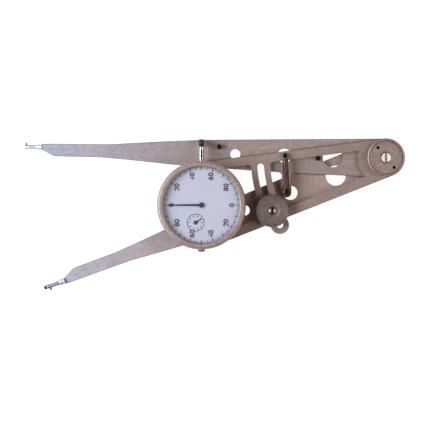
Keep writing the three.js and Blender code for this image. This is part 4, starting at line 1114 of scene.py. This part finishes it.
def make_case():
    """Case of the dial gauge with its back cover and the screws of both."""
    low, high = levels("gauge_case")
    outer, floor, ledge = half_width("gauge_case"), low + CASE_FLOOR, low + CASE_LEDGE
    profile = [
        (CASE_OPENING, low), (outer - 0.15, low), (outer, low + 0.2), (outer, low + 2.2),
        (outer - 0.2, low + 2.4), (outer - 0.2, low + 2.7), (outer, low + 2.9), (outer, ledge),
        (CASE_SPIGOT, ledge), (CASE_SPIGOT, high), (CASE_BORE, high), (CASE_BORE, floor),
        (CASE_OPENING, floor), (CASE_OPENING, low),
    ]
    bush, past = half_width("upper_plunger_bush"), outer + 3.5
    bores = [(0, -past), (STEM_BORE, -past), (STEM_BORE, 0), (bush, 0), (bush, past), (0, past)]
    bores = lathe(bores, SMALL, 0, matrix=STEM)
    mesh = carved(lathe(profile, FINE, 0.08, *DIAL_PLACE), CASE_STEEL, bores)
    show("dial_case", mesh, CASE_STEEL, "frame", "gauge_case")

    low, high = levels("gauge_back_cover")
    outer = half_width("gauge_back_cover")
    profile = [
        (0, low + 0.2), (LID_DISH, low + 0.2), (LID_DISH + 0.3, low), (LID_GROOVE - 0.2, low),
        (LID_GROOVE, low + 0.12), (LID_GROOVE + 0.3, low), (outer - 0.35, low), (outer, low + 0.35),
        (outer, high), (0, high),
    ]
    mesh = lathe(profile, FINE, 0.06, *DIAL_PLACE)
    show("back_lid", mesh, CASE_STEEL, "frame", "gauge_back_cover")

    for i in (1, 2, 3):
        node = "gauge_mount_screw_%d" % i
        mesh = slotted(node, SCREW_STEEL, CASE_SCREW, up=-1, turn=40 * i)
        show("case_screw_%d" % i, mesh, SCREW_STEEL, "frame", node)
        node = "back_cover_screw_%d" % i
        mesh = slotted(node, SCREW_STEEL, LID_SCREW, up=-1, turn=25 + 50 * i)
        show("lid_screw_%d" % i, mesh, SCREW_STEEL, "frame", node)


def make_stem():
    """Upper bush and cap of the case, and the plunger with its keyway, its rack and its tip."""
    low, high = along_stem("upper_plunger_bush")
    outer = half_width("upper_plunger_bush")
    profile = [
        (BUSH_BORE, low), (outer, low), (outer, high - 0.3), (outer - 0.3, high), (BUSH_BORE, high),
        (BUSH_BORE, low),
    ]
    mesh = lathe(profile, SMALL, 0.1, matrix=STEM)
    show("upper_bush", mesh, BRIGHT, "frame", "upper_plunger_bush")

    low, high = along_stem("plunger_cap")
    outer, floor = half_width("plunger_cap"), low + 0.65
    profile = [
        (0, low), (1.7, low), (outer - 0.15, low + 0.55), (outer, low + 1.05), (outer, low + 2.25),
        (outer - 0.2, low + 2.45), (outer - 0.2, low + 2.75), (outer, low + 2.95), (outer, high),
        (CAP_BORE, high), (CAP_BORE, floor), (0, floor),
    ]
    mesh = lathe(profile, SMALL, 0.1, matrix=STEM)
    show("stem_cap", mesh, CAP_STEEL, "frame", "plunger_cap")

    low, high = along_stem("plunger")
    rod = [(0, low), (PLUNGER - 0.1, low), (PLUNGER, low + 0.1), (PLUNGER, high), (0, high)]
    floor, top = PLUNGER_LEVEL + KEYWAY_FLOOR, PLUNGER_LEVEL + 2 * PLUNGER
    keyway = block(KEYWAY_WIDTH, 3 * (high - low), floor, top, *DIAL_PLACE)
    # The keyway's walls get the painted shade of the cuts: a dark line along the top of the rod.
    rod = carved(lathe(rod, SMALL, 0.05, matrix=STEM), ROD_STEEL, keyway)
    back, tips, foot = DIAL_X - RACK_BACK, COUNTER_PLACE[0] + PINION_GAP, COUNTER_PLACE[1] - RACK_FOOT
    root = tips + RACK_DEPTH
    outline = [(back, foot), (back, foot + RACK_TEETH * RACK_PITCH)]
    for i in range(RACK_TEETH, 0, -1):
        outline += [(root, foot + i * RACK_PITCH - 0.02), (tips, foot + (i - 0.5) * RACK_PITCH)]
    rack = plate([[*outline, (root, foot)]], PLUNGER_LEVEL - RACK_HALF, PLUNGER_LEVEL + RACK_HALF, 0)
    show("stem_rod", joined([rod, rack]), ROD_STEEL, "plunger", "plunger", CUT_SHADE_STEEL)

    low, high = along_stem("plunger_tip")
    outer = half_width("plunger_tip")
    profile = [
        (0, low), (outer, low), (outer, low + 0.8), (outer - 0.2, low + 1.1), (outer - 0.7, high - 0.1),
        (outer - 1.0, high), (0, high),
    ]
    mesh = lathe(profile, SMALL, 0.1, matrix=STEM)
    show("stem_tip", mesh, BRIGHT, "plunger", "plunger_tip")


def make_bezel():
    """Knurled bezel, and the domed glass in it."""
    low, high = levels("bezel")
    outer, lip = half_width("bezel"), high - BEZEL_LIP
    profile = [
        (BEZEL_BORE, low), (outer - 0.4, low), (outer - 0.15, low + 0.25, 0), (outer, low + 0.5, 0),
        (outer, low + 0.55, 1), (outer, high - 3.35, 1), (outer, high - 3.3, 0), (outer - 0.1, high - 2.4),
        (outer - 0.25, high - 1.5), (outer - 0.5, high - 0.7), (outer - 0.9, high - 0.22),
        (outer - 1.5, high), (DIAL_WINDOW + 0.7, high), (DIAL_WINDOW + 0.2, high - 0.25),
        (DIAL_WINDOW, high - 0.75), (DIAL_WINDOW, lip), (BEZEL_BORE, lip), (BEZEL_BORE, low),
    ]
    mesh = lathe(profile, BEZEL_TEETH * 5, 0.1, *DIAL_PLACE, teeth=BEZEL_TEETH, depth=BEZEL_KNURL)
    show("bezel_ring", mesh, BEZEL_STEEL, "bezel", "bezel")

    low, high = levels("crystal")
    outer = half_width("crystal")
    profile = [(0, low), (outer, low), (outer, high - CRYSTAL_DOME)]
    profile += [(outer * share, high - CRYSTAL_DOME * share**2) for share in (0.92, 0.8, 0.6, 0.4, 0.2)]
    mesh = lathe([*profile, (0, high)], FINE, 0, *DIAL_PLACE)
    show("crystal_lens", mesh, CRYSTAL, "bezel", "crystal")


def marks(radii, width, count, top, centre, left_out=0):
    """Radial printed lines at even steps. Every so many of them can be left out, from the first on."""
    shape = bmesh.new()
    inner, outer = radii
    for i in range(count):
        if left_out and i % left_out == 0:
            continue
        turn = Matrix.Rotation(2 * math.pi * i / count, 3, "Z")
        corners = []
        for z in (top - INK_ROOT, top + INK):
            for reach, side in ((inner, -1), (outer, -1), (outer, 1), (inner, 1)):
                point = turn @ Vector((reach, side * width / 2, z))
                corners.append(shape.verts.new(point + Vector((*centre, 0))))
        floor, roof = corners[:4], corners[4:]
        shape.faces.new(roof)
        for k in range(4):
            shape.faces.new((floor[k - 1], floor[k], roof[k], roof[k - 1]))
    return mesh_of(shape)


def oval(x, y, wide, tall, first=0, last=360):
    """Points of an oval stroke of a digit."""
    return [(x + wide * (px - x), y + tall * (py - y)) for px, py in arc(1, first, last, 20, x, y)]


# Strokes of the digits, in a box as wide as their share and 1 tall
DIGITS = {
    "0": [oval(0.36, 0.5, 0.27, 0.42)],
    "2": [[*oval(0.36, 0.68, 0.26, 0.24, 165, -35), (0.1, 0.08), (0.64, 0.08)]],
    "4": [[(0.52, 0.06), (0.52, 0.92), (0.08, 0.32), (0.68, 0.32)]],
    "6": [[(0.58, 0.86), (0.4, 0.92), (0.2, 0.7), (0.1, 0.32)], oval(0.36, 0.31, 0.26, 0.23)],
    "8": [oval(0.36, 0.71, 0.22, 0.21), oval(0.36, 0.29, 0.26, 0.22)],
}


def printed(text, x, y, top):
    """A number of bold strokes, as thick as paint, which reads from the right side of the gauge."""
    strokes = []
    size = NUMBER_HEIGHT
    for place, digit in enumerate(text):
        shift = DIGIT_PITCH_SHARE * (place - len(text) / 2) + (DIGIT_PITCH_SHARE - DIGIT_WIDTH_SHARE) / 2
        for stroke in DIGITS[digit]:
            strokes.append([((px + shift) * size, (py - 0.5) * size, 0, 1) for px, py in stroke])
    flat = Matrix.Diagonal((1, 1, NUMBER_INK / NUMBER_STROKE, 1))
    matrix = Matrix.Translation((x, y, top)) @ Matrix.Rotation(math.pi / 2, 4, "Z") @ flat
    return wire("number", strokes, NUMBER_STROKE, matrix)


def make_dial():
    """Face with its scale, numbers and the small counter dial."""
    low, top = levels("dial_center_plate")
    face, wall = top - FACE_THICKNESS, FOOT_REACH + FOOT_WALL
    outer = half_width("dial_center_plate") + FACE_SEAM
    profile = [
        (FACE_HOLE, face), (FOOT_REACH, face), (FOOT_REACH, low), (wall, low), (wall, face),
        (outer, face), (outer, top), (FACE_HOLE, top), (FACE_HOLE, face),
    ]
    ends = face - OVERRUN, top + OVERRUN
    drill = [(0, ends[0]), (COUNTER_HOLE, ends[0]), (COUNTER_HOLE, ends[1]), (0, ends[1])]
    drill = lathe(drill, COARSE, 0, *COUNTER_PLACE)
    mesh = carved(lathe(profile, FINE, 0.02, *DIAL_PLACE), ENAMEL, drill)
    show("face_centre", mesh, ENAMEL, "frame", "dial_center_plate")
    low, high = levels("dial_scale_ring")
    mesh = lathe(ring(SCALE_BORE, half_width("dial_scale_ring"), low, high), FINE, 0.02, *DIAL_PLACE)
    show("face_scale", mesh, ENAMEL, "bezel", "dial_scale_ring")

    lines = []
    for inner, width, count, left_out in SCALE_MARKS:
        lines.append(marks((inner, SCALE_EDGE), width, count, high, DIAL_PLACE, left_out))
    for i, text in enumerate(NUMBERS):
        angle = math.radians(180 - 360 * i / len(NUMBERS))
        x, y = DIAL_X + NUMBER_REACH * math.cos(angle), DIAL_Y + NUMBER_REACH * math.sin(angle)
        lines.append(printed(text, x, y, high))
    show("scale_print", joined(lines), BLACK_INK, "bezel", None)

    inner, outer = (COUNTER_RING + side * COUNTER_RING_WIDTH / 2 for side in (-1, 1))
    line = lathe(ring(inner, outer, top - INK_ROOT, top + INK), FINE, 0, *COUNTER_PLACE)
    lines = [line, marks(COUNTER_MARKS, COUNTER_MARK_WIDTH, COUNTER_DIVISIONS, top, COUNTER_PLACE)]
    show("counter_print", joined(lines), BLACK_INK, "frame", None)


def hand(size, arbor, place, turn, low, high):
    """A tapering hand with a round hub on its arbor."""
    length, width, hub = size
    half = math.degrees(math.asin(width / 2 / hub))
    tip = HAND_TIP_SHARE * width / 2
    points = [*arc(hub, half, 360 - half, 40), (length, -tip), (length, tip)]
    outline = [(x + place[0], y + place[1]) for x, y in turned_points(points, turn)]
    return plate([outline, circle(arbor, COARSE, *place)], low, high, HAND_EDGE)


def make_hands():
    """Hand of the counter, and the pointer with its cap."""
    mesh = hand(COUNTER_HAND, COUNTER_ARBOR, COUNTER_PLACE, COUNTER_READING, *levels("counter_hand"))
    show("turn_counter_hand", mesh, BLACK_INK, "counter", "counter_hand")
    mesh = hand(POINTER, POINTER_ARBOR, DIAL_PLACE, POINTER_READING, *levels("main_pointer"))
    show("dial_pointer", mesh, BLACK_INK, "pointer", "main_pointer")
    low, high = levels("pointer_cap")
    outer = half_width("pointer_cap")
    profile = [
        (0, low), (outer, low), (outer, low + 0.2), (outer - 0.3, high - 0.05), (outer - 0.8, high),
        (0, high),
    ]
    mesh = lathe(profile, SMALL, 0.06, *DIAL_PLACE)
    show("pointer_boss", mesh, BLACK_INK, "pointer", "pointer_cap")


def make_spring():
    """Close-wound spring with a hook at each end round its pin."""
    start, finish = Vector(middle("frame_spring_pin")), Vector(middle("lug_spring_pin"))
    length = (finish - start).length
    ahead = (finish - start).normalized()
    beside = Vector((-ahead.y, ahead.x))

    def at(along, across, above=0.0, share=1.0):
        point = start + ahead * along + beside * across
        return (point.x, point.y, SPRING_LEVEL + above, share)

    def hook(centre, way, first):
        """Wire round a pin: its way is 1 or -1 along the spring, and it starts at an angle."""
        points = arc(SPRING_COIL, first, first - HOOK_SWEEP, HOOK_STEPS)
        return [at(centre + way * along, across, 0.0, HOOK_THICKNESS_SHARE) for along, across in points]

    def bend(along):
        """The wire between a hook and the coil."""
        return at(along, SPRING_COIL * 0.92, 0.1, HOOK_THICKNESS_SHARE)

    coil = []
    steps = SPRING_TURNS * SPRING_TURN_STEPS
    for i in range(steps + 1):
        angle = 2 * math.pi * i / SPRING_TURN_STEPS
        along = SPRING_LEAD + (length - 2 * SPRING_LEAD) * i / steps
        coil.append(at(along, SPRING_COIL * math.cos(angle), SPRING_COIL * math.sin(angle)))
    stroke = [
        *hook(0, 1, -95),
        bend(SPRING_LEAD - SPRING_BEND),
        *coil,
        bend(length - SPRING_LEAD + SPRING_BEND),
        *hook(length, -1, 50),
    ]
    mesh = wire("spring", [stroke], SPRING_WIRE, Matrix())
    made = show("coil_spring", mesh, SPRING_STEEL, None, "return_spring")
    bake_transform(made)


def dress_movement():
    """The solids that stay as they are get the finish of their slot."""
    for material, nodes in (
        (BRASS, ("movement_back_plate", "movement_middle_plate", "movement_front_plate", "counter_gear")),
        (BRASS, ("movement_pillar_1", "movement_pillar_2", "movement_pillar_3")),
        (BRIGHT, ("counter_arbor", "center_arbor", "lower_plunger_bush")),
    ):
        for node in nodes:
            for material_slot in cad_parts[node].material_slots:
                material_slot.material = material


view_from_above()
sky()
lamps()
white_floor()

# Finishes, each with a screen colour and a roughness
LUG_DARK_PATCH = (tuple(v * MM for v in (*middle("lug_spring_pin"), levels("upper_arm")[1])), LUG_WIDTH * MM)
# Arm colours: the far end painted lighter and cooler, the end by the dial painted darker and warmer.
ARM_STEEL = grained("arm_steel_ground", ("bebfc4", "b5a7a0"), 0.8, 0, LUG_DARK_PATCH)
LOWER_ARM_STEEL = grained("lower_arm_steel_ground", ("c6c5ca", "c1afa6"), 0.8, LOWER_ARM_ANGLE)
FRAME_STEEL = grained("frame_steel_ground", ("af9e96", "af9e96"), 0.78, FRAME_ANGLE)
# Darker finish of the plates' walls and eased edges: painted shade along the edges.
EDGE_SHADE_STEEL = plain_metal("painted_edge_shade", "6a5c57", 0.55)
PIVOT_STEEL = turned_metal("pivot_steel_turned", "a7948d", 0.6, (0, 0), 0.012)
KNOB_STEEL = turned_metal("knob_steel_turned", "857872", 0.54, middle("clamp_knob"), 0.02)
CASE_STEEL = turned_metal("case_steel_turned", "a39a98", 0.4, DIAL_PLACE)
BEZEL_STEEL = turned_metal("bezel_steel_turned", "b1a097", 0.62, DIAL_PLACE, 0.035)
BRIGHT = plain_metal("bright_steel", "d4d6de", 0.22)
ROD_STEEL = plain_metal("rod_steel_polished", "dcdce4", 0.12)
CAP_STEEL = plain_metal("cap_steel", "8c7c74", 0.5)
PLATED = plain_metal("plated_screw_steel", "ffffff", 0.55)
TIP_STEEL = plain_metal("tip_steel", "dcdfec", 0.55)
SHANK_STEEL = plain_metal("shank_steel", "bab0b6", 0.5)
CONTACT_STEEL = plain_metal("contact_steel", "5c3a36", 0.45)
ANVIL_STEEL = plain_metal("anvil_steel", "4e4543", 0.42)
DOMED = plain_metal("screw_steel_polished", "8a8483", 0.3)
BLACKED = plain_metal("blackened_steel", "2a2626", 0.45)
# Near-black finish of the walls of holes, slots and the keyway: painted shade in the cuts.
CUT_SHADE_STEEL = plain_metal("painted_cut_shade", "1c1816", 0.6)
PIN_STEEL = plain_metal("pin_steel", "7c767c", 0.5)
SCREW_STEEL = plain_metal("screw_steel", "6b6462", 0.38)
SPRING_STEEL = wound_wire("spring_bronze", "84695c", 0.36)
BRASS = plain_metal("brass", "b4925a", 0.35)
ENAMEL = coating("dial_enamel", "b7b8c4", 0.5, 0.05)
BLACK_INK = coating("black_paint", "121216", 0.5, 0.3)
CRYSTAL = glass()

make_plates()
make_pivot()
make_pins()
make_clamp()
make_tips()
make_case()
make_stem()
make_bezel()
make_dial()
make_hands()
make_spring()
dress_movement()
